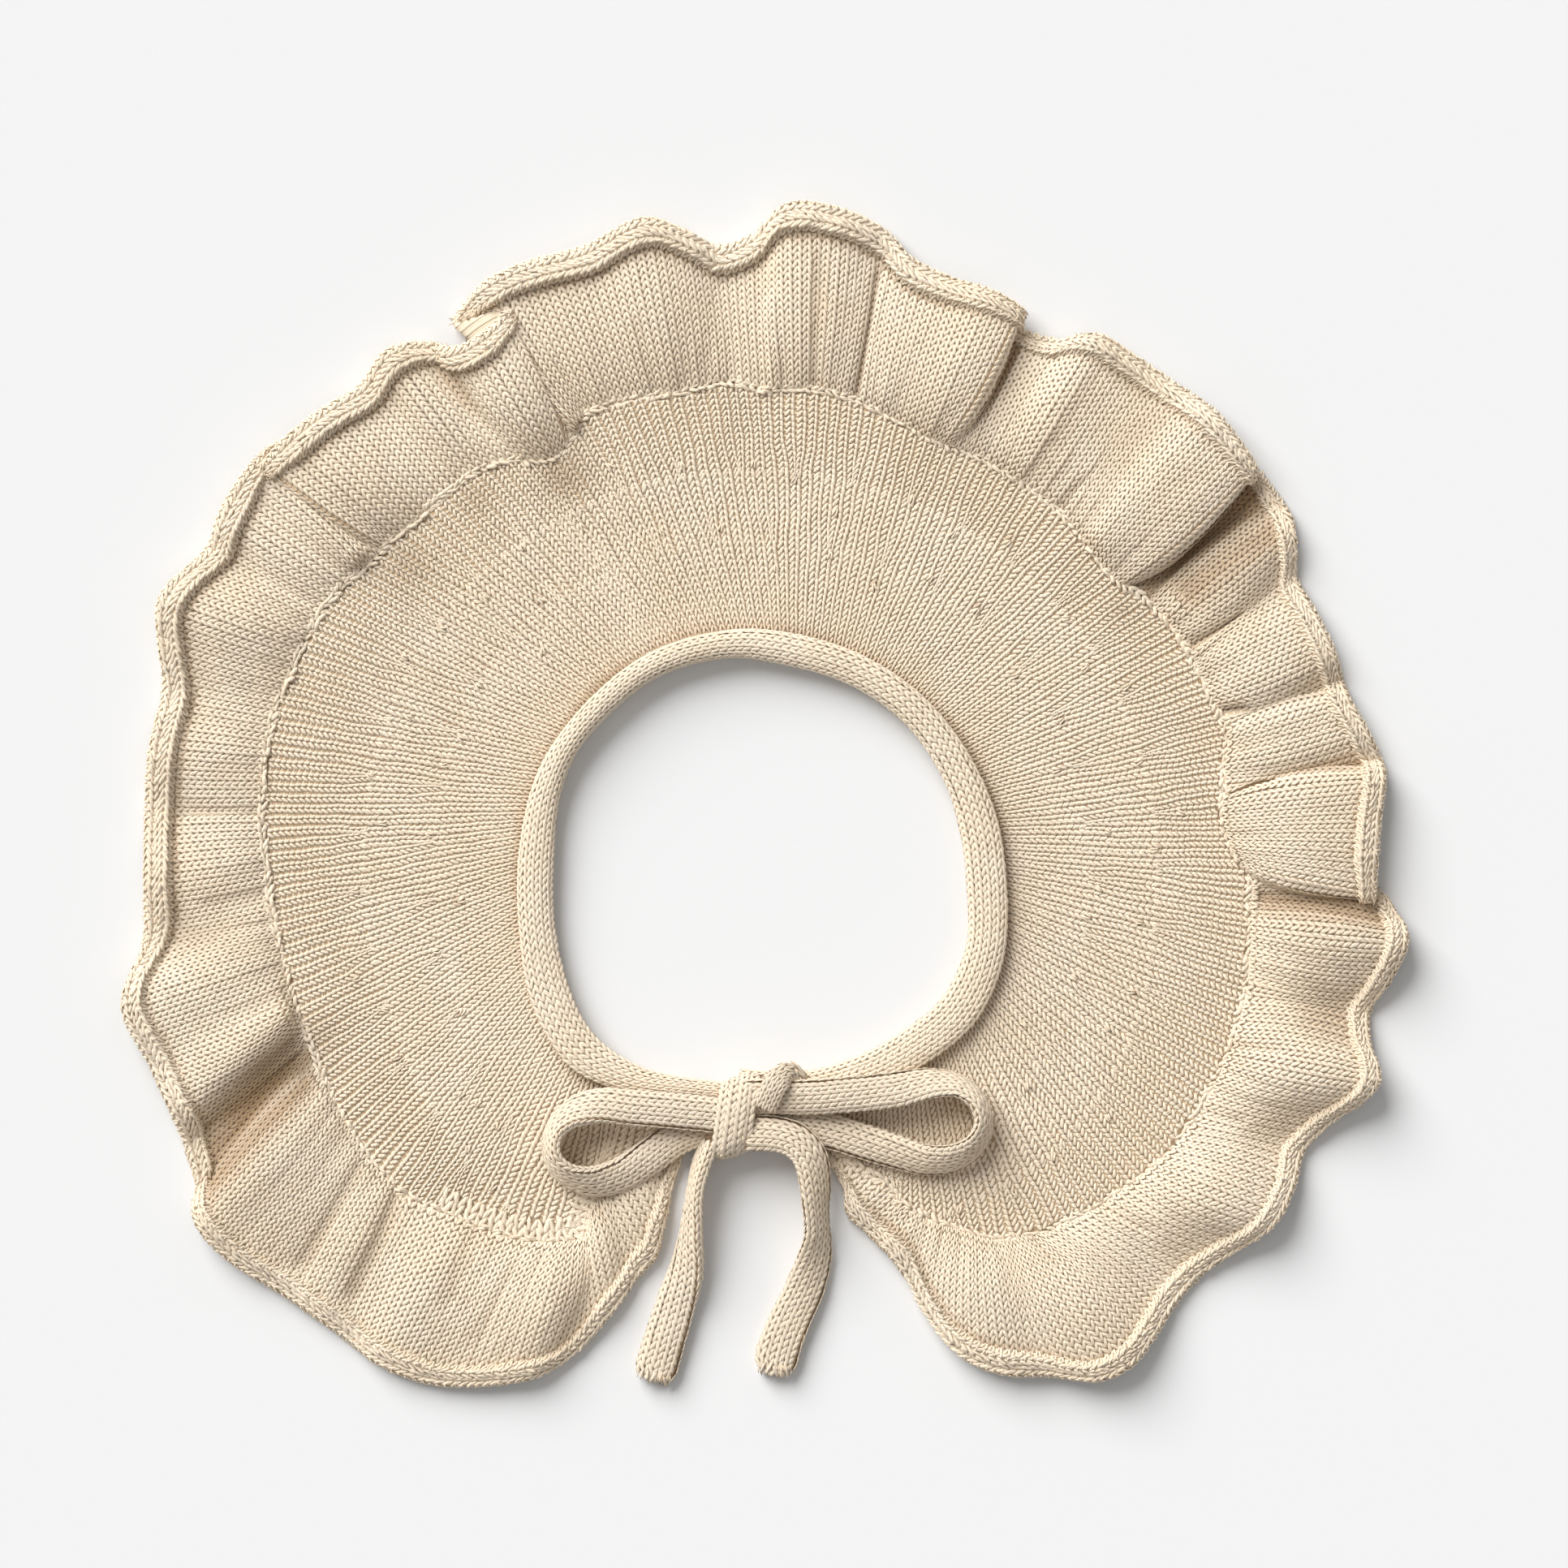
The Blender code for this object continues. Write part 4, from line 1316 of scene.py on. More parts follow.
@dataclass
class Studio:
    """Camera, light and floor."""

    centre_mm: tuple[float, float] = (4.7, 2.7)
    view_width_mm: float = 386.4
    height: float = 1.5
    focus_height: float = 0.004
    far_clip: float = 10.0
    sensor: float = 36.0
    sun_strength: float = 3.89
    sun_elevation: float = 35.0
    sun_azimuth: float = 128.0
    sun_softness: float = 46.0
    world_strength: float = 0.35
    floor_size: float = 6.0
    floor_gap: float = 0.0002

    def camera(self) -> None:
        """Look straight down on the collar, as in the photograph."""
        data = bpy.data.cameras.new("camera")
        data.sensor_width = self.sensor
        data.lens = self.sensor * self.height / (self.view_width_mm * MM)
        data.clip_end = self.far_clip
        made = stand("camera", data)
        made.location = (self.centre_mm[0] * MM, self.centre_mm[1] * MM, self.height + self.focus_height)
        bpy.context.scene.camera = made

    def light(self) -> None:
        """Light the collar softly from the upper left, with a pale world as fill."""
        data = bpy.data.lights.new("window", "SUN")
        data.energy = self.sun_strength
        data.angle = math.radians(self.sun_softness)
        made = stand("window", data)
        made.rotation_euler = (0.0, math.radians(90.0 - self.sun_elevation), math.radians(self.sun_azimuth))
        world = bpy.data.worlds.new("studio")
        world.use_nodes = True
        background = world.node_tree.nodes["Background"]
        background.inputs["Color"].default_value = (1.0, 1.0, 1.0, 1.0)
        background.inputs["Strength"].default_value = self.world_strength
        bpy.context.scene.world = world
        bpy.context.scene.view_settings.view_transform = "Standard"

    def floor(self) -> None:
        """Lay the pale floor that the collar rests on."""
        half = self.floor_size / 2
        mesh = bpy.data.meshes.new("floor")
        low = -self.floor_gap
        corners = [(-half, -half, low), (half, -half, low), (half, half, low), (-half, half, low)]
        mesh.from_pydata(corners, [], [(0, 1, 2, 3)])
        mesh.materials.append(FloorFinish().material())
        stand("floor", mesh)


@dataclass
class Tube:
    """A flattened knitted tube along a line: the neckband, or a stretch of tie."""

    centres: ndarray
    sides: ndarray
    ups: ndarray
    half_widths: ndarray
    half_heights: ndarray
    wales: int = 9
    course: float = 2.0
    yarn: float = 0.9
    rows: int = 48
    stitch_inset: float = 0.32
    core_rows: int = 16
    core_inset: float = 0.5
    fine_steps: int = 8
    drift: Uneven = Uneven(0.006, 0.35)
    tone: float = 0.03
    tone_pace: float = 0.2
    fray_inset: float = 0.4
    fray_back_mm: float = 0.2
    fray_yarn: float = 1.1
    fray_mm: float = 1.9
    fray_size: Uneven = Uneven(0.4, 1.7)
    fray_out: Uneven = Uneven(0.5, 2.3)
    fray_splay: Uneven = Uneven(0.7, 3.7)
    fray_turn: Uneven = Uneven(0.8, 2.9)

    def ring_points(self, inset: float, rows: int) -> ndarray:
        """Return the tube's rings, evenly spaced round each section.

        Args:
            inset: how far inside its full size.
            rows: how many points on a ring.

        Returns:
            An array of rings by points by three.
        """
        fine = np.linspace(0.0, 2 * math.pi, self.fine_steps * rows + 1)
        rings = []
        for centre, side, up, wide, high in zip(self.centres, self.sides, self.ups,
                                                self.half_widths, self.half_heights):
            oval = np.stack((np.cos(fine) * (wide - inset), np.sin(fine) * (high - inset)), axis=1)
            lengths = run_lengths(oval)
            even = np.interp(np.arange(rows) / rows * lengths[-1], lengths, fine)
            flat = np.cos(even)[:, None] * side * (wide - inset)
            rings.append(centre + flat + np.sin(even)[:, None] * up * (high - inset))
        return np.array(rings)

    def core(self, name: str, finish: Material) -> Object:
        """Return the closed body inside the stitches, by its name and material."""
        rings = self.ring_points(self.core_inset, self.core_rows)
        chart = np.empty((len(rings), self.core_rows + 1, 2))
        chart[..., 0] = np.arange(self.core_rows + 1) / self.core_rows * self.wales
        chart[..., 1] = (run_lengths(self.centres) / self.course)[:, None]
        return skin(name, rings, chart, finish)

    def knit_into(self, knitting: Knitting, forwards: bool = True, seed: float = 0.0) -> None:
        """Add the stitches that cover the tube.

        Args:
            knitting: what they are added to.
            forwards: whether the closed ends point along the tube or back.
            seed: the seed of its unevenness.
        """
        rings = self.ring_points(self.stitch_inset, self.rows)
        surface = Surface(rings.transpose(1, 0, 2), closed=True)
        lengths = run_lengths(self.centres)
        order = np.arange(len(lengths))
        courses = max(2, round(lengths[-1] / self.course))
        pitch = lengths[-1] / courses
        number, wale = np.meshgrid(np.arange(courses), np.arange(self.wales), indexing="ij")
        number, wale = number.ravel(), wale.ravel()
        at = (number + 0.5) * pitch
        columns = np.interp(at, lengths, order)
        rows = ((wale + 0.5) / self.wales + self.drift.at(at, seed)) * self.rows % self.rows
        spots = surface.spots(rows, columns)
        stretch = np.linalg.norm(spots.along, axis=1) / np.interp(columns, order, np.gradient(lengths))
        width = np.linalg.norm(spots.across, axis=1) * self.rows / self.wales
        way = spots.along if forwards else -spots.along
        from_middle = spots.points - between_points(self.centres, columns)
        tone = self.tone * wander(at * self.tone_pace + wale, seed + 3.0)
        knitting.add(spots.points, way, facing_out(unit(spots.normals), from_middle), width,
                     pitch * stretch, self.yarn, tone)

    def fray(self, knitting: Knitting, seed: float) -> None:
        """Add the loose loops at the tube's cut end: some stand out of its rim, and some close its face.

        Args:
            knitting: what they are added to.
            seed: the seed of their unevenness.
        """
        centre = self.centres[-1]
        ahead = unit(centre - self.centres[-2])
        for number, rim in enumerate(FRAY):
            ring = self.ring_points(self.fray_inset, rim.loops)[-1]
            order = np.arange(rim.loops)
            away = unit(ring - centre)
            ragged = rim.out_mm * (self.fray_out.amount + self.fray_out.at(order, seed + number))
            place = centre + (ring - centre) * rim.share + ahead * (ragged - self.fray_back_mm)[:, None]
            way = ahead + away * self.fray_splay.at(order, seed + 1.0)[:, None]
            way = way + np.cross(away, ahead) * self.fray_turn.at(order, seed + 2.0)[:, None]
            size = self.fray_mm + self.fray_size.at(order, seed + 3.0)
            knitting.add(place, way, away, size, size, self.fray_yarn * self.yarn, self.tone)


@dataclass
class Tie:
    """One stretch of tie, which follows its route as a flat tube turned up where it bends."""

    name: str
    route: list[Turn]
    far_end: str = ""
    scale: float = 1.0
    wales: int = 9
    step: float = 1.4
    forwards: bool = True
    seed: int = 1
    tuck_mm: float = 2.4
    flare: float = 0.2
    flare_mm: float = 42.0
    corner_mm: float = 1.8
    fine_steps: int = 60
    course: float = 2.0
    least_scale: float = 0.8

    def tube(self) -> Tube:
        """Return the tie as a tube."""
        turns = np.stack([column(self.route, name) for name in ("x_mm", "y_mm", "z_mm")], axis=1)
        turns[0] += unit(turns[0] - turns[1]) * self.tuck_mm
        if self.far_end == "object":
            turns[-1] += unit(turns[-1] - turns[-2]) * self.tuck_mm
        fine = np.linspace(0.0, len(turns) - 1.0, self.fine_steps * len(turns))
        line = curve_through(turns, fine)
        lengths = run_lengths(line)
        count = max(4, round(lengths[-1] / self.step))
        places = np.interp(np.linspace(0.0, lengths[-1], count + 1), lengths, fine)
        centres = curve_through(turns, places)
        ahead = unit(np.gradient(centres, axis=0))
        level = unit(np.cross(ahead, UP))
        raised = unit(np.cross(level, ahead))
        tilt = np.interp(places, np.arange(len(turns)), column(self.route, "tilt_deg"))
        tilt = np.radians(tilt)[:, None]
        sides = level * np.cos(tilt) - raised * np.sin(tilt)
        ups = raised * np.cos(tilt) + level * np.sin(tilt)
        wide = np.full(len(centres), TIE_WIDTH / 2 * self.scale)
        high = np.full(len(centres), TIE_THICKNESS / 2 * self.scale)
        if self.far_end == "bare":
            left = run_lengths(centres)[-1] - run_lengths(centres)
            wide *= 1.0 + self.flare * (1.0 - smoothstep(left / self.flare_mm))
            wide *= 1.0 - self.flare * (1.0 - smoothstep(left / self.corner_mm))
        course = self.course * max(self.scale, self.least_scale)
        return Tube(centres, sides, ups, wide, high, wales=self.wales, course=course)

    def make(self, shop: Workshop) -> list[Object]:
        """Make the tie's core and stitches.

        Args:
            shop: the finishes and the stitch tree.

        Returns:
            The core and the stitches.
        """
        tube = self.tube()
        core = settle(tube.core(self.name + "_core", shop.close_ground), "cotton_tube_knit", self.name)
        knitting = Knitting()
        tube.knit_into(knitting, self.forwards, float(self.seed))
        if self.far_end == "bare":
            tube.fray(knitting, float(self.seed))
        stitches = shop.stitches.knit(self.name + "_stitches", knitting, StitchForm.FULL, shop.tie,
                                      self.seed)
        settle(stitches, "cotton_tube_knit")
        if self.far_end:
            path = (tube.centres + NECK_CENTRE) * MM
            length = float(run_lengths(path)[-1])
            tuple(path[0])
        return [core, stitches]


def seam_line(places: ndarray, shift: float) -> ndarray:
    """Return the seam in plan at places along the folds, moved outwards by the shift."""
    seams = polar(column(FOLDS, "seam_deg"), column(FOLDS, "seam_mm"))
    line = curve_through(seams, places)
    along = unit(np.gradient(line, axis=0))
    outwards = np.stack((along[:, 1], -along[:, 0], np.zeros(len(along))), axis=1)
    return line + outwards * shift


def whole_seam(shift: float) -> ndarray:
    """Return the whole seam in small steps, moved outwards by the shift."""
    return seam_line(np.linspace(0.0, len(FOLDS) - 1.0, SEAM_STEPS), shift)


def neck_edge(shares: ndarray) -> ndarray:
    """Return points on the yoke's neck edge, at shares of the way from right front to left."""
    start, end = FOLDS[0].seam_deg, FOLDS[-1].seam_deg
    degrees = start + (end - start) * shares
    radii = np.interp(degrees, column(BANDS, "deg"), column(BANDS, "radius_mm"))
    return polar(degrees, radii - NECK_EDGE_INSET)


@dataclass
class Yoke:
    """The stocking stitch ring from neck to seam, with its two rounds of increases."""

    rows: int = 30
    columns: int = 700
    ground_top: float = 1.5
    stitch_base: float = 1.55
    # Columns and courses, and the soft waves that they follow
    wales: tuple[int, ...] = (175, 210, 252)
    increases_mm: tuple[float, ...] = (27.0, 44.0)
    reach_mm: float = 80.0
    courses_mm: tuple[float, ...] = (1.6, 1.6, 1.45)
    edge_mm: float = 0.5
    yarn: float = 0.95
    tone: float = 0.03
    tone_pace: float = 0.9
    settle_mm: float = 9.0
    branches: tuple[float, ...] = (0.0, 1.0, 1.78, 2.22, 3.0, 4.0)
    fullness: float = 1.03
    slack: float = 0.15
    slack_ramp: Ramp = Ramp(0.6, 0.35)
    short: float = 0.16
    short_ramp: Ramp = Ramp(0.55, 0.35)
    wale_drift: float = 0.06
    sway: Uneven = Uneven(0.5, 40.0)
    ripple: Uneven = Uneven(0.2, 190.0)
    pull: Uneven = Uneven(1.1, 13.0)
    pull_ramp: Ramp = Ramp(0.5, 0.5)
    ring_mm: float = 0.16
    spoke_mm: float = 0.2
    gather: Uneven = Uneven(0.26, 31.0)
    gather_ramp: Ramp = Ramp(0.72, 0.28)
    level_ramp: Ramp = Ramp(0.0, 0.12)
    # The painted shade beside the neckband, and the lumps at the increases with painted shade in the holes
    # beside them
    band_shade: float = 0.6
    band_shade_mm: float = 1.1
    lump_mm: float = 1.4
    lump_lift: float = 0.25
    lump_yarn: float = 1.15
    lump_tone: float = 0.02
    lump_shade: float = 0.4
    lump_hole_mm: float = 0.6
    lump_scatter: Uneven = Uneven(9.0, 2.6)
    lump_shift: Uneven = Uneven(0.4, 1.9)
    lump_turn: Uneven = Uneven(0.9, 3.1)
    # The large open stitches at the left front
    open_deg: tuple[float, float] = (226.0, 244.0)
    open_mm: float = 5.0
    open_rows: tuple[float, ...] = (0.3, 0.76)
    open_wale: float = 3.2
    open_length: float = 0.52
    open_lift: float = 0.1
    open_yarn: float = 1.1
    open_tone: float = 0.02
    open_drift: Uneven = Uneven(0.3, 1.0)
    open_spreads: tuple[float, float] = (0.16, 0.12)
    lumps: ndarray = field(init=False)

    def edges(self, middles: ndarray) -> tuple[ndarray, ndarray]:
        """Return where each column of stitches leaves the neck edge and meets the seam."""
        seam_share, neck_share = column(FANS, "seam_share"), column(FANS, "neck_share")
        between = (seam_share + neck_share) / 2
        line = whole_seam(-SEAM_GAP / 2)
        lengths = run_lengths(line)
        at = np.interp(middles, between, seam_share) * lengths[-1]
        seam = np.stack([np.interp(at, lengths, line[:, axis]) for axis in range(3)], axis=1)
        return neck_edge(np.interp(middles, between, neck_share)), seam

    def lift(self, points: ndarray, across: ndarray) -> ndarray:
        """Return how far the cloth rises in soft waves at points, given how far across they lie."""
        angle = np.arctan2(points[..., 1], points[..., 0])
        rings = self.ring_mm * wander(across * 9.0 + angle * 2.0, 2.0)
        spokes = self.spoke_mm * wander(angle * 7.0 + across * 2.2, 5.0)
        gathers = self.gather_ramp.at(across) * self.gather.at(angle, 1.0)
        return (rings + spokes + gathers) * self.level_ramp.at(across)

    def surface(self, height: float) -> Surface:
        """Return the yoke's upper surface at a height, neck to seam."""
        neck, seam = self.edges(np.linspace(0.0, 1.0, self.columns))
        across = np.linspace(0.0, 1.0, self.rows)[:, None]
        points = neck * (1 - across[..., None]) + seam * across[..., None]
        angle = np.arctan2(seam[:, 1], seam[:, 0])
        pull = self.pull.at(angle, 7.0) * self.pull_ramp.at(across)
        points = points + unit(np.gradient(seam, axis=0)) * pull[..., None]
        points[..., 2] = height + self.lift(points, np.broadcast_to(across, points.shape[:2]))
        return Surface(points)

    def ground(self, finish: Material) -> Object:
        """Return the cloth behind the stitches, a closed wall."""
        top = self.surface(self.ground_top).points
        under = top[[-1, 0]].copy()
        under[..., 2] = 0.0
        rings = np.concatenate((top, under), axis=0).transpose(1, 0, 2)
        lengths = np.linalg.norm(top[-1] - top[0], axis=1)[:, None] * np.linspace(0.0, 1.0, self.rows)
        chart = np.zeros((self.columns, self.rows + 3, 2))
        chart[..., 0] = np.linspace(0.0, self.wales[-1], self.columns)[:, None]
        chart[:, :self.rows, 1] = lengths / self.courses_mm[-1]
        chart[:, self.rows, 1] = chart[:, self.rows - 1, 1]
        return skin("yoke_ground", rings, chart, finish, self.rows)

    def middles(self, zone: int, past_mm: float) -> ndarray:
        """Return where the columns of a zone lie between the fronts.

        Just past an increase the new columns still lie close beside the ones they branch from.

        Args:
            zone: the zone, from the neck.
            past_mm: how far past the zone's start.

        Returns:
            The share of the way round of each column.
        """
        even = (np.arange(self.wales[zone]) + 0.5) / self.wales[zone]
        if zone == 0:
            return even
        group, place = np.divmod(np.arange(self.wales[zone]), len(self.branches))
        parent = group * (len(self.branches) - 1) + np.array(self.branches)[place]
        start = (parent + 0.5) / self.wales[zone - 1]
        share = smoothstep(np.array(past_mm / self.settle_mm))
        return start * (1 - share) + even * share

    def knit(self) -> tuple[Knitting, Knitting]:
        """Return the stitches of the two inner zones and of the outer one."""
        surface = self.surface(self.stitch_base)
        inner, outer = Knitting(), Knitting()
        lots = (inner, inner, outer)
        self.lumps = self.add_lumps(surface, outer)
        starts = (0.0, *self.increases_mm)
        ends = (*self.increases_mm, self.reach_mm)
        for zone, (start, end) in enumerate(zip(starts, ends)):
            course = self.courses_mm[zone]
            for number in range(math.ceil((end - start) / course)):
                at = start + (number + 0.5) * course
                middle = self.middles(zone, at - start)
                order = np.arange(len(middle))
                middle = middle + self.wale_drift / self.wales[zone] * wander(order * 1.3, at * 0.3)
                neck, seam = self.edges(middle)
                reach = np.linalg.norm(seam - neck, axis=1)
                share = (at + self.sway.at(middle, 1.0) + self.ripple.at(middle, 2.0)) / reach
                kept = share < 1.0 - np.where(self.is_open(seam), self.open_mm, self.edge_mm) / reach
                columns = middle * (self.columns - 1)
                width = np.gradient(middle) * (self.columns - 1)
                width = width * (self.fullness - self.slack * self.slack_ramp.at(share))
                rows = share * (self.rows - 1)
                # Painted shade beside the neckband, in the holes beside the lumps, and as the folds' shadows
                # by the seam
                past_band = np.maximum(at - self.band_reach(neck), 0.0)
                shelter = self.band_shade * np.exp(-past_band / self.band_shade_mm)
                shelter = np.maximum(shelter, self.shade(neck + (seam - neck) * share[:, None]))
                length = course * (1.0 - self.short * self.short_ramp.at(share))
                spots = surface.spots(rows[kept], columns[kept])
                wide = np.linalg.norm(spots.along, axis=1) * width[kept]
                tone = self.tone * wander(columns[kept] * self.tone_pace + at, 4.0)
                lots[zone].add(spots.points, spots.across, spots.normals, wide, length[kept], self.yarn,
                               tone, shelter[kept])
        return inner, outer

    def is_open(self, seam: ndarray) -> ndarray:
        """Return which points of the seam lie where its stitches are large and open."""
        degrees = np.degrees(np.arctan2(seam[:, 1], seam[:, 0])) % 360.0
        return (degrees > self.open_deg[0]) & (degrees < self.open_deg[1])

    def add_lumps(self, surface: Surface, knitting: Knitting) -> ndarray:
        """Add a small raised lump at each increase, and return their places in plan."""
        found = []
        for zone, start in enumerate(self.increases_mm):
            count = self.wales[zone + 1] // len(self.branches)
            order = np.arange(count)
            middle = (order + 0.5 + self.lump_shift.at(order, zone + 1.0)) / count
            neck, seam = self.edges(middle)
            reach = np.linalg.norm(seam - neck, axis=1)
            share = (start + self.lump_scatter.at(order, zone + 4.0)) / reach
            spots = surface.spots(share * (self.rows - 1), middle * (self.columns - 1))
            way = unit(spots.across) + unit(spots.along) * self.lump_turn.at(order, zone)[:, None]
            knitting.add(spots.points + UP * self.lump_lift, way, spots.normals, self.lump_mm, self.lump_mm,
                         self.lump_yarn, self.lump_tone)
            found.append(spots.points)
        return np.concatenate(found)

    def shade(self, places: ndarray) -> ndarray:
        """Return the painted shade at points: in the hole beside a lump, and the painted shadows at the foot
        of the folds by the seam.
        """
        outwards = self.lumps[:, :2] + unit(self.lumps[:, :2]) * self.lump_mm
        apart = np.linalg.norm(places[:, None, :2] - outwards[None], axis=2).min(axis=1)
        shelter = self.lump_shade * np.exp(-(apart / self.lump_hole_mm) ** 2)
        for shade_paint in PAINTED_SHADOWS:
            middle = polar(shade_paint.deg, shade_paint.radius_mm)[:2]
            apart = np.linalg.norm(places[:, :2] - middle, axis=1)
            shelter = np.maximum(shelter, shade_paint.share * np.exp(-(apart / shade_paint.spread_mm) ** 2))
        return shelter

    def open_stitches(self) -> Knitting:
        """Return the rows of large open stitches by the seam at the left front."""
        knitting = Knitting()
        line = whole_seam(-SEAM_GAP / 2)
        part = line[self.is_open(line)]
        at, points = evenly(part, self.open_wale)
        place = between_points(part, points)
        along = between_points(np.gradient(part, axis=0), points)
        outwards = unit(np.cross(along, UP))
        for row, share in enumerate(self.open_rows):
            drift = self.open_drift.at(at, row)[:, None]
            slid = place - outwards * (self.open_mm * share) + unit(along) * drift
            slid = slid + UP * (self.stitch_base + self.open_lift)
            knitting.add(slid, outwards, np.broadcast_to(UP, slid.shape), self.open_wale,
                         self.open_mm * self.open_length, self.open_yarn, self.open_tone)
        return knitting

    def band_reach(self, neck: ndarray) -> ndarray:
        """Return how far the neckband covers the yoke at points on its neck edge."""
        degrees = np.degrees(np.arctan2(neck[:, 1], neck[:, 0]))
        turned = np.where(degrees < BANDS[0].deg, degrees + 360.0, degrees)
        return NECK_EDGE_INSET + np.interp(turned, column(BANDS, "deg"), column(BANDS, "width_mm")) / 2

    def make(self, shop: Workshop) -> list[Object]:
        """Make the yoke's ground and stitches."""
        ground = settle(self.ground(shop.ground), "cotton_knit", "yoke")
        inner, outer = self.knit()
        opened = self.open_stitches()
        knit = shop.stitches.knit
        pieces = [
            knit("yoke_stitches_inner", inner, StitchForm.LEANING, shop.knit, 21),
            knit("yoke_stitches_outer", outer, StitchForm.LEANING, shop.knit, 22),
            knit("yoke_stitches_open", opened, StitchForm.EVEN, shop.knit, 23, *self.open_spreads),
        ]
        for piece in pieces:
            settle(piece, "cotton_knit")
        return [ground, *pieces]


@dataclass
class Ruffle:
    """The gathered strip round the yoke, with its folds, creases and rolled hem."""

    sides: tuple[str, ...] = ("right", "back", "left")
    steps_per_fold: int = 8
    levels: int = 41
    flat_rows: int = 24
    under_rows: int = 6
    under_from: float = 0.97
    ground_top: float = 0.26
    # Stitches, and where their courses start at the seam
    wale_mm: float = 2.4
    course_mm: float = 1.72
    guide_share: float = 0.8
    first_course: float = 0.62
    start: Uneven = Uneven(0.4, 0.31)
    past_mm: float = 0.3
    stitch_base: float = 0.36
    yarn: float = 0.87
    tone: Uneven = Uneven(0.03, 1.1)
    # How the strip rises and settles
    settle_share: float = 0.3
    settle_front: float = 0.58
    settle_power: float = 1.5
    front_low: Ramp = Ramp(0.3, 0.4)
    front_left: Ramp = Ramp(-0.3, 0.6)
    puff_mm: float = 3.4
    puff_place: float = 0.7
    puff_reach: float = 34.0
    flat_deg: float = 140.0
    flat_share: float = 0.62
    flat_ramp: Ramp = Ramp(0.2, 0.6)
    # Small gathers, and the ends of the creases
    gather_in: Ramp = Ramp(0.0, 0.06)
    gather_out: Ramp = Ramp(0.0, 0.62)
    gather: Uneven = Uneven(0.42, 0.86)
    pucker: Uneven = Uneven(0.12, 1.9)
    ripple_mm: float = 0.1
    ripple_in: Ramp = Ramp(0.0, 0.1)
    hem_radius: float = 150.0
    crease_in: float = 0.1
    crease_out: float = 0.15
    # The painted shade in hollows and creases, and beside the rolled hem
    deep_mm: float = 3.2
    crease_shade_most: float = 0.8
    shelter_steps: int = 24
    shelter_slope: float = 0.28
    shelter_depth: float = 5.0
    hem_shade_mm: float = 2.6
    hem_shade: float = 0.72
    roll_shade: Ramp = Ramp(1.2, 0.9)
    # The rolled hem and its chains
    roll_foot: float = 2.8
    roll_spread: float = 2.1
    roll_most: float = 0.42
    roll_yarn: float = 0.9
    roll_inset: float = 0.3
    hem_pitch: float = 1.95
    hem_drift: Uneven = Uneven(0.16, 0.8)
    hem_tone: Uneven = Uneven(0.04, 0.9)
    hem_spreads: tuple[float, float] = (0.16, 0.1)
    places: ndarray = field(init=False)
    crease_and_shade: ndarray = field(init=False)
    middle: Surface = field(init=False)
    reach: ndarray = field(init=False)
    rolls: ndarray = field(init=False)
    roll_width: ndarray = field(init=False)
    cloth_share: ndarray = field(init=False)
    shelter: ndarray = field(init=False)

    def __post_init__(self) -> None:
        """Work out the middle of the strip, and how its length and hem change along it."""
        last = len(FOLDS) - 1
        self.places = np.linspace(0.0, last, last * self.steps_per_fold + 1)
        self.middle = self.middle_surface()
        run = self.middle.points[-1] - self.middle.points[0]
        self.reach = np.linalg.norm(run, axis=1)
        self.rolls = np.interp(self.places, np.arange(last + 1), column(FOLDS, "roll_mm"))
        widths = self.roll_foot + self.roll_spread * self.rolls
        self.roll_width = np.minimum(widths, self.roll_most * self.reach)
        self.cloth_share = 1.0 - self.roll_width / self.reach
        # The painted shade of the hollows and creases
        self.shelter = self.shelter_grid()

    def middle_surface(self) -> Surface:
        """Return the middle of the strip, seam to hem, with its creases."""
        hem_deg, hem_mm, crest = (column(FOLDS, name) for name in ("hem_deg", "hem_mm", "crest_mm"))
        seam = polar(column(FOLDS, "seam_deg"), column(FOLDS, "seam_mm"), SEAM_HEIGHT)
        hem = polar(hem_deg, hem_mm - RUFFLE_WALL / 2, crest)
        turned = np.radians(hem_deg)
        front = self.front_low.at(-np.sin(turned)) * self.front_left.at(-np.cos(turned))
        settled = self.settle_share * (1.0 - front) + self.settle_front * front
        rows = []
        for across in np.linspace(0.0, 1.0, self.levels):
            points = seam + (hem - seam) * across
            rise = 1.0 - (1.0 - across) ** FOLD_RISE
            points[:, 2] = SEAM_HEIGHT + (crest - SEAM_HEIGHT) * rise
            points[:, 2] *= 1.0 - settled * across ** self.settle_power
            rows.append(curve_through(points, self.places))
        rows[0] = seam_line(self.places, SEAM_GAP / 2) + UP * SEAM_HEIGHT
        plain = Surface(np.array(rows))
        across = np.linspace(0.0, 1.0, self.levels)[:, None]
        creased = plain.points + plain.normals * self.crease_depth(plain, across)[..., None]
        creased[..., 2] = np.maximum(creased[..., 2], RUFFLE_WALL / 2)
        return Surface(creased)

    def shelter_grid(self) -> ndarray:
        """Return the painted shade at each point of the strip, from nought to one: how deep it lies beside
        higher folds, or in a crease.
        """
        points = self.middle.points
        rise = np.zeros(points.shape[:2])
        for step in range(-self.shelter_steps, self.shelter_steps + 1):
            beside = points[:, np.clip(np.arange(points.shape[1]) + step, 0, points.shape[1] - 1)]
            apart = np.linalg.norm((beside - points)[..., :2], axis=-1)
            rise = np.maximum(rise, beside[..., 2] - points[..., 2] - self.shelter_slope * apart)
        return np.maximum(smoothstep(rise / self.shelter_depth), self.crease_and_shade)

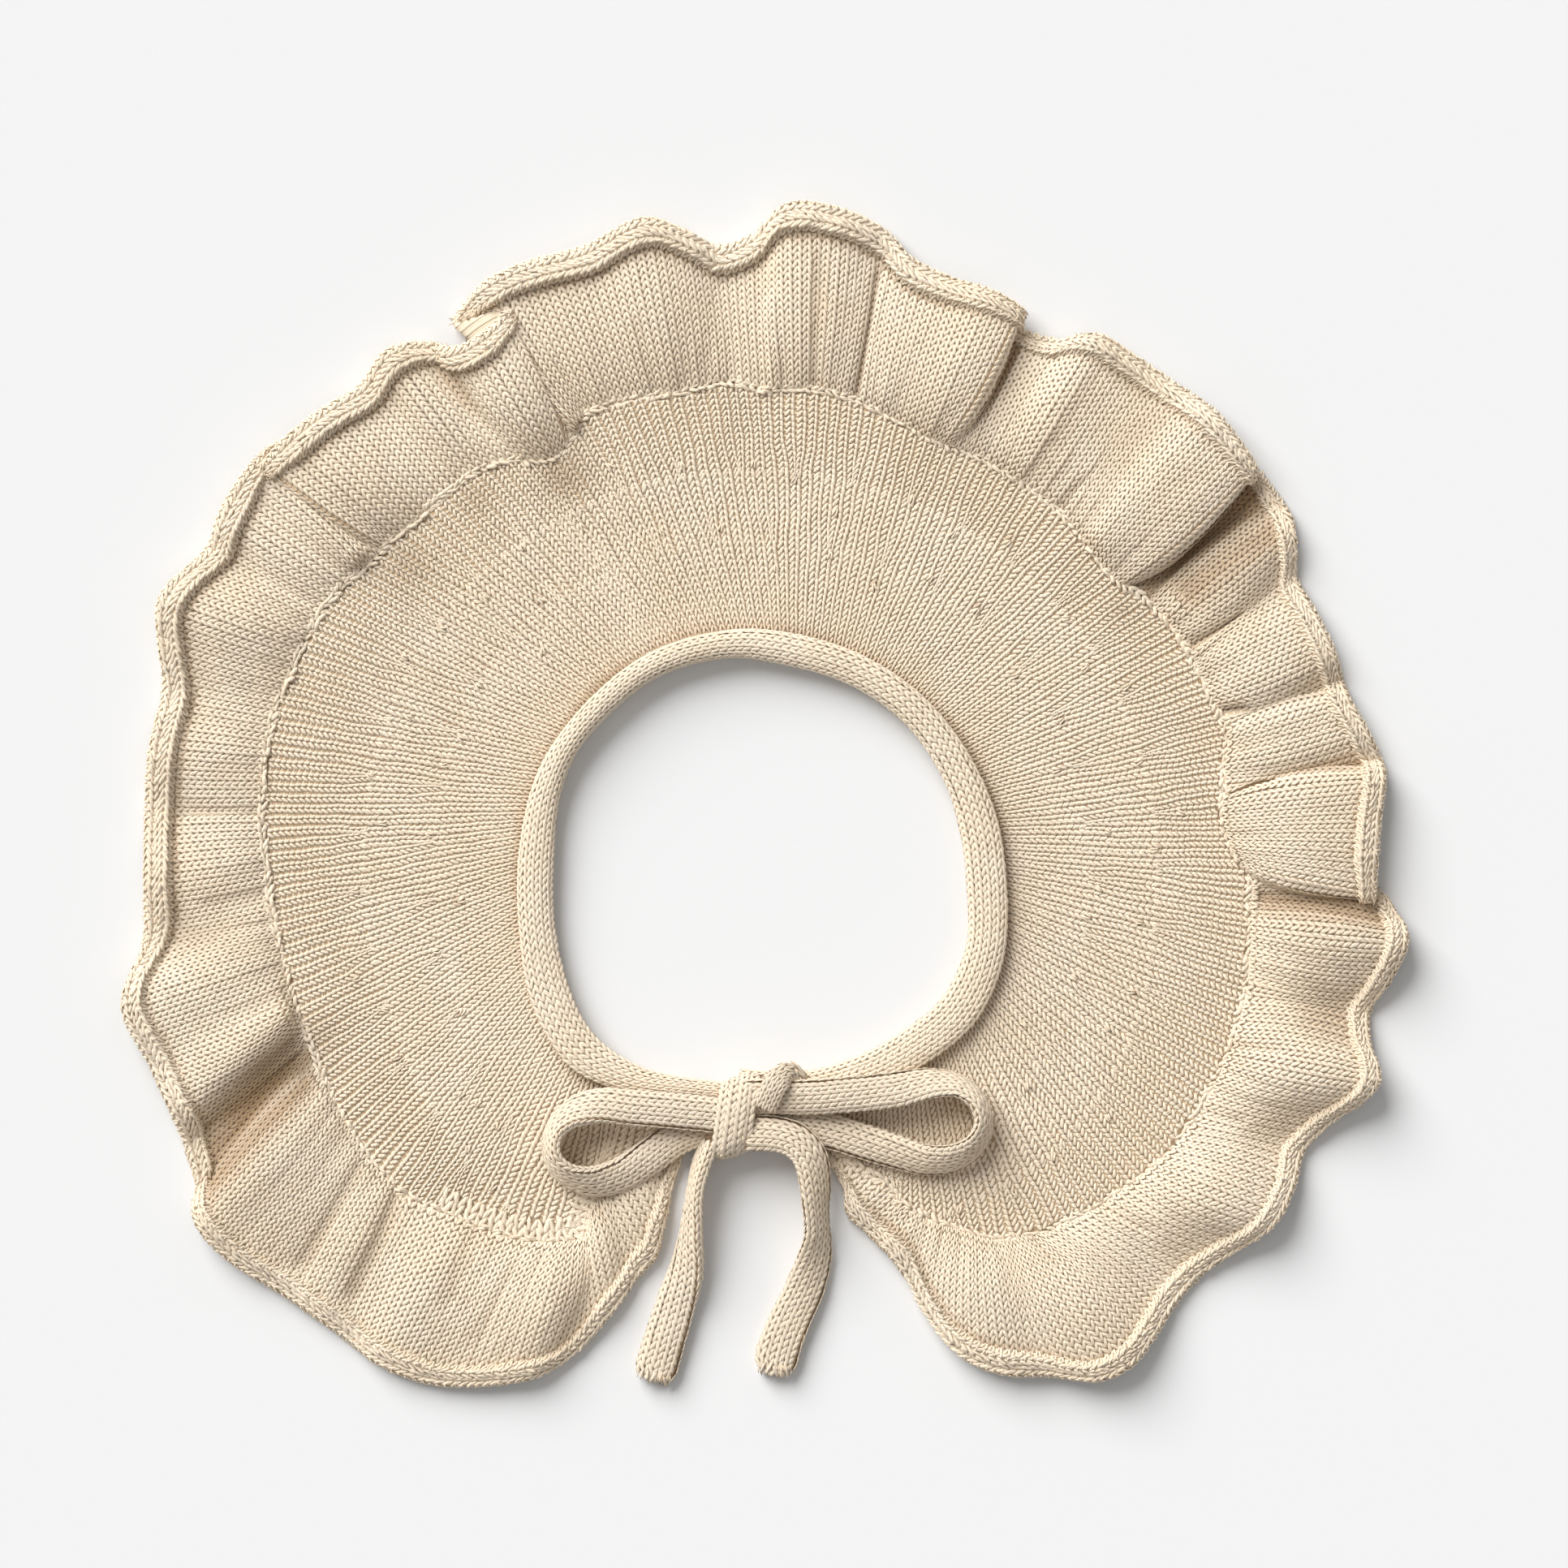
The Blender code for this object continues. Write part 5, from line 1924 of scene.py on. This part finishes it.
    def crease_depth(self, plain: Surface, across: ndarray) -> ndarray:
        """Return how far the creases and the small gathers move the strip along its normal, and keep the
        painted shade that the creases lay.

        Args:
            plain: the strip without them.
            across: the share of the way across of each row.

        Returns:
            Millimetres, for each row and column.
        """
        lengths = run_lengths(plain.points[self.levels // 2])[None, :]
        self.crease_and_shade = np.zeros(plain.points.shape[:2])
        fade = self.gather_in.at(across) * (1.0 - self.gather_out.at(across))
        depth = fade * (self.gather.at(lengths, 3.0) + self.pucker.at(lengths, 6.0))
        ripple = self.ripple_mm * self.ripple_in.at(across)
        depth = depth + ripple * wander(lengths * 0.5 + across * 6.0, 8.0)
        reach = np.linalg.norm(plain.points[-1] - plain.points[0], axis=1)
        angle = np.arctan2(plain.points[-1, :, 1], plain.points[-1, :, 0])
        flat = self.flat_ramp.at(np.cos(angle - math.radians(self.flat_deg)))
        puff = self.puff_mm * smoothstep(reach / self.puff_reach) * (1.0 - self.flat_share * flat)
        depth = depth + puff * np.sin(math.pi * across ** self.puff_place)
        order = np.arange(len(FOLDS))
        seam_deg = np.maximum.accumulate(column(FOLDS, "seam_deg"))
        # How much further round its hem a place on the folds lies than its seam
        fans = column(FOLDS, "hem_deg") - column(FOLDS, "seam_deg")
        for crease in CREASES:
            place = np.interp(crease.seam_deg, seam_deg, order)
            turned = crease.hem_deg - crease.seam_deg - np.interp(place, order, fans)
            shift = np.radians(turned) * self.hem_radius
            middle = np.interp(place, self.places, lengths[0]) + shift * across
            window = smoothstep((across - crease.start) / self.crease_in + 1.0)
            window = window * smoothstep((crease.end - across) / self.crease_out)
            crease_and_shade = window * np.exp(-((lengths - middle) / crease.width_mm) ** 2)
            depth = depth - crease.depth_mm * crease_and_shade
            # A crease also paints shade along itself, darker the deeper it is
            share = min(crease.depth_mm / self.deep_mm, self.crease_shade_most)
            self.crease_and_shade = np.maximum(self.crease_and_shade, crease_and_shade * share)
        return depth

    def layer(self, shares: ndarray, height: ndarray | float, columns: ndarray) -> ndarray:
        """Return a row of points at shares of the way across and heights above the middle."""
        rows = np.clip(shares, 0.0, 1.0) * (self.levels - 1)
        spots = self.middle.spots(rows, columns)
        at_seam = (rows < 0.5)[:, None]
        normals = unit(np.where(at_seam, UP, spots.normals))
        past = (shares - np.clip(shares, 0.0, 1.0))[:, None] * (self.levels - 1)
        height = np.broadcast_to(height, len(columns))[:, None]
        made = spots.points + spots.across * past + normals * height
        made[:, 2] = np.maximum(made[:, 2], 0.0)
        return made

    def roll_rows(self) -> ndarray:
        """Return the rolled hem's rows, from its inner foot over the top to its underside.

        Returns:
            An array of rows by columns by three.
        """
        columns = np.arange(len(self.places), dtype=float)
        high = self.rolls + self.roll_yarn - self.roll_inset
        rows = []
        for point in HEM_ROLL:
            shares = 1.0 - point.width_share * self.roll_width / self.reach
            rows.append(self.layer(shares, high * point.height_share, columns))
        return np.array(rows)

    def ground(self, finish: Material) -> Object:
        """Return the cloth behind the stitches, a closed wall with its hem rolled up."""
        columns = np.arange(len(self.places), dtype=float)
        rows, across = [], []
        for step in np.linspace(0.0, 1.0, self.flat_rows):
            rows.append(self.layer(step * self.cloth_share, self.ground_top, columns))
            across.append(step * self.cloth_share)
        rows += list(self.roll_rows())
        across += [1.0 - point.width_share * (1.0 - self.cloth_share) for point in HEM_ROLL]
        for step in np.linspace(self.under_from, 0.0, self.under_rows):
            rows.append(self.layer(np.full(len(columns), step), -RUFFLE_WALL / 2, columns))
            across.append(np.full(len(columns), step))
        rings = np.array(rows).transpose(1, 0, 2)
        chart = np.zeros((len(columns), len(rows) + 1, 2))
        chart[:, :-1, 1] = np.array(across).T * self.reach[:, None] / self.course_mm
        chart[..., 0] = run_lengths(self.middle.points[-1])[:, None] / self.wale_mm
        return skin("ruffle_ground", rings, chart, finish, self.flat_rows)

    def knit(self) -> list[Knitting]:
        """Return the strip's stitches, one lot for each side."""
        _, columns = evenly(self.middle.points[round(self.guide_share * (self.levels - 1))], self.wale_mm)
        order = np.arange(len(self.places), dtype=float)
        wales = np.arange(len(columns))
        width = np.gradient(columns)
        whole = np.interp(columns, order, self.reach)
        reach = np.interp(columns, order, self.reach * self.cloth_share)
        # Painted shade on the stitches along the inner side of a high rolled hem
        rolled = self.hem_shade * self.roll_shade.at(np.interp(columns, order, self.rolls))
        lots = [Knitting() for _ in self.sides]
        lot = (wales * len(lots)) // len(wales)
        for number in range(math.ceil(reach.max() / self.course_mm)):
            at = (number + self.first_course) * self.course_mm + self.start.at(wales, 3.0)
            share = at / whole
            rows = share * (self.levels - 1)
            place = self.layer(share, self.stitch_base, columns)
            spots = self.middle.spots(rows, columns)
            tone = self.tone.at(wales, number)
            size = np.linalg.norm(spots.along, axis=1) * width
            # Painted shade in hollows and creases, and beside the rolled hem
            shelter = self.middle.read(self.shelter[..., None], rows, columns)[:, 0]
            near_hem = smoothstep((at + self.hem_shade_mm - reach) / self.hem_shade_mm)
            shelter = np.maximum(shelter, rolled * near_hem)
            for index, knitting in enumerate(lots):
                kept = (at < reach + self.past_mm) & (lot == index)
                knitting.add(place[kept], spots.across[kept], spots.normals[kept], size[kept],
                             self.course_mm, self.yarn, tone[kept], shelter[kept])
        return lots

    def knit_hem(self) -> Knitting:
        """Return the chains along the rolled hem, and the short stitches that point out at its edge."""
        order = np.arange(len(self.places), dtype=float)
        surface = Surface(self.roll_rows())
        knitting = Knitting()
        for number, chain in enumerate(HEM_CHAINS):
            line = surface.read(surface.points, np.full(len(order), chain.row), order)
            _, columns = evenly(line, self.hem_pitch)
            count = np.arange(len(columns))
            spots = surface.spots(chain.row + self.hem_drift.at(count, number), columns)
            size = np.linalg.norm(spots.along, axis=1)[:, None]
            way = spots.along * chain.along + unit(spots.across) * size * chain.across
            width = np.interp(columns, order, self.roll_width) * chain.width_share
            knitting.add(spots.points, way, spots.normals, width, self.hem_pitch, chain.yarn_mm,
                         self.hem_tone.at(count, number + 2.0))
        return knitting

    def make(self, shop: Workshop) -> list[Object]:
        """Make the ruffle's ground, stitches and hem."""
        ground = settle(self.ground(shop.close_ground), "cotton_knit", "ruffle")
        knit = shop.stitches.knit
        made = []
        for index, (side, knitting) in enumerate(zip(self.sides, self.knit())):
            name = "ruffle_stitches_" + side
            made.append(knit(name, knitting, StitchForm.EVEN, shop.knit, 31 + index))
        made.append(knit("hem_stitches", self.knit_hem(), StitchForm.CHAIN, shop.knit, 41, *self.hem_spreads))
        for piece in made:
            settle(piece, "cotton_knit")
        return [ground, *made]


@dataclass
class Seam:
    """The lumpy chain that joins the ruffle to the yoke."""

    width_mm: float = 2.2
    pitch_mm: float = 1.9
    height_mm: float = 1.72
    yarn: float = 1.08
    rise: Uneven = Uneven(0.2, 0.7)
    drift: Uneven = Uneven(0.25, 0.9)
    tone: Uneven = Uneven(0.03, 1.0)
    spreads: tuple[float, float] = (0.42, 0.2)

    def make(self, shop: Workshop) -> Object:
        """Make the chain of stitches on the seam."""
        line = whole_seam(0.0)
        at, points = evenly(line, self.pitch_mm)
        place = between_points(line, points)
        along = between_points(np.gradient(line, axis=0), points)
        place = place + UP * (self.height_mm + self.rise.at(at, 1.0))[:, None]
        place = place + unit(np.cross(along, UP)) * self.drift.at(at, 4.0)[:, None]
        knitting = Knitting()
        knitting.add(place, along, np.broadcast_to(UP, place.shape), self.width_mm, self.pitch_mm, self.yarn,
                     self.tone.at(at, 2.0))
        piece = shop.stitches.knit("seam_stitches", knitting, StitchForm.FULL, shop.knit, 51, *self.spreads)
        return settle(piece, "cotton_knit")


@dataclass
class Neckband:
    """The flattened tube along the neck edge, whose ends run on as the ties."""

    step_deg: float = 1.5
    wales: int = 10
    tuck_mm: float = 4.5

    def tube(self) -> Tube:
        """Return the neckband as a tube."""
        degrees, width, height = (column(BANDS, name) for name in ("deg", "width_mm", "height_mm"))
        middles = polar(degrees, column(BANDS, "radius_mm"), BAND_BASE + height / 2)
        sizes = np.stack((width, height, np.zeros(len(BANDS))), axis=1)
        middles[0] += unit(middles[0] - middles[1]) * self.tuck_mm
        middles[-1] += unit(middles[-1] - middles[-2]) * self.tuck_mm
        span = BANDS[-1].deg - BANDS[0].deg
        places = np.interp(np.linspace(0.0, 1.0, round(span / self.step_deg)),
                           (degrees - BANDS[0].deg) / span, np.arange(len(BANDS)))
        centres = curve_through(middles, places)
        size = curve_through(sizes, places)
        outwards = unit(centres * np.array((1.0, 1.0, 0.0)))
        ups = np.broadcast_to(UP, outwards.shape)
        return Tube(centres, outwards, ups, size[:, 0] / 2, size[:, 1] / 2, wales=self.wales)

    def make(self, shop: Workshop) -> list[Object]:
        """Make the neckband's core and stitches."""
        tube = self.tube()
        core = settle(tube.core("neckband_core", shop.ground), "cotton_tube_knit", "neckband")
        knitting = Knitting()
        tube.knit_into(knitting, seed=5.0)
        stitches = shop.stitches.knit("neckband_stitches", knitting, StitchForm.FULL, shop.tube, 61)
        return [core, settle(stitches, "cotton_tube_knit")]


@dataclass
class Knot:
    """The wrap of tie that holds the bow, with its stitches running over the top."""

    wales: int = 4
    wale_mm: float = 2.5
    course: float = 2.0
    courses_round: float = 30.0
    squareness: float = 0.86
    lean: float = 0.13
    rows: int = 56
    core_columns: int = 12
    columns: int = 40
    core_inset: float = 0.6
    stitch_inset: float = 0.3
    end_inset: float = 0.6
    middle: tuple[float, float, float] = (-7.0, -61.0, 6.2)
    yarn: float = 0.9
    tone: Uneven = Uneven(0.03, 1.0)

    def sections(self, inset: float, columns: int) -> ndarray:
        """Return the wrap's sections, evenly spaced from its left face to its right."""
        at_end = inset * self.end_inset
        x = np.linspace(KNOT[0].x_mm + at_end, KNOT[-1].x_mm - at_end, columns)
        at = column(KNOT, "x_mm")
        y, half_y, low, high = (np.interp(x, at, column(KNOT, name)) for name in Wrap._fields[1:])
        low, high, half_y = low + at_end, high - inset, half_y - inset
        angle = np.arange(self.rows)[:, None] / self.rows * 2 * math.pi
        flat = np.sign(np.cos(angle)) * np.abs(np.cos(angle)) ** self.squareness
        tall = np.sign(np.sin(angle)) * np.abs(np.sin(angle)) ** self.squareness
        across = x + self.lean * flat * half_y
        return np.stack((across, y + flat * half_y, (low + high) / 2 + tall * (high - low) / 2), axis=-1)

    def make(self, shop: Workshop) -> list[Object]:
        """Make the wrap's core and stitches."""
        rings = self.sections(self.core_inset, self.core_columns).transpose(1, 0, 2)
        chart = np.zeros((self.core_columns, self.rows + 1, 2))
        chart[..., 1] = np.arange(self.rows + 1) / self.rows * self.courses_round
        core = settle(skin("knot_core", rings, chart, shop.close_ground), "cotton_tube_knit", "knot")
        surface = Surface(self.sections(self.stitch_inset, self.columns), closed=True)
        knitting = Knitting()
        for wale in range(self.wales):
            at = np.full(self.rows + 1, (wale + 0.5) / self.wales * (self.columns - 1))
            _, rows = evenly(surface.read(surface.points, np.arange(self.rows + 1.0), at), self.course)
            spots = surface.spots(rows, at[:len(rows)])
            normal = facing_out(spots.normals, spots.points - self.middle)
            knitting.add(spots.points, spots.across, normal, self.wale_mm, self.course, self.yarn,
                         self.tone.at(rows, wale))
        stitches = shop.stitches.knit("knot_stitches", knitting, StitchForm.FULL, shop.tie, 71)
        return [core, settle(stitches, "cotton_tube_knit")]


def main() -> None:
    """Build the collar and its studio, and report each piece."""
    logging.basicConfig(level=logging.INFO, format="%(name)s %(message)s")
    studio = Studio()
    studio.camera()
    shop = Workshop(StitchTree(), YarnFinish("cotton_knit_yarn").material(),
                    YarnFinish("cotton_tube_yarn").material(),
                    YarnFinish("cotton_tie_yarn", crown=TIE_CROWN, patch=TIE_PATCH).material(),
                    GroundFinish("cotton_ground").material(),
                    GroundFinish("close_cotton_ground", shade_paint=CLOSE_SHADE_PAINT).material())
    for tie in (
        Tie("loop_left", LOOP_LEFT, "object", seed=11),
        Tie("loop_right", LOOP_RIGHT, "object", seed=12),
        Tie("tail_left", TAIL_LEFT, "bare", forwards=False, seed=13),
        Tie("tail_right", TAIL_RIGHT, "bare", seed=14),
        Tie("tie_over", TIE_OVER, scale=0.7, wales=8, step=0.7, tuck_mm=0.6, seed=15),
    ):
        tie.make(shop)
    for part in (Knot(), Neckband(), Yoke(), Ruffle(), Seam()):
        part.make(shop)
    studio.light()
    studio.floor()


if __name__ == "__main__":
    main()
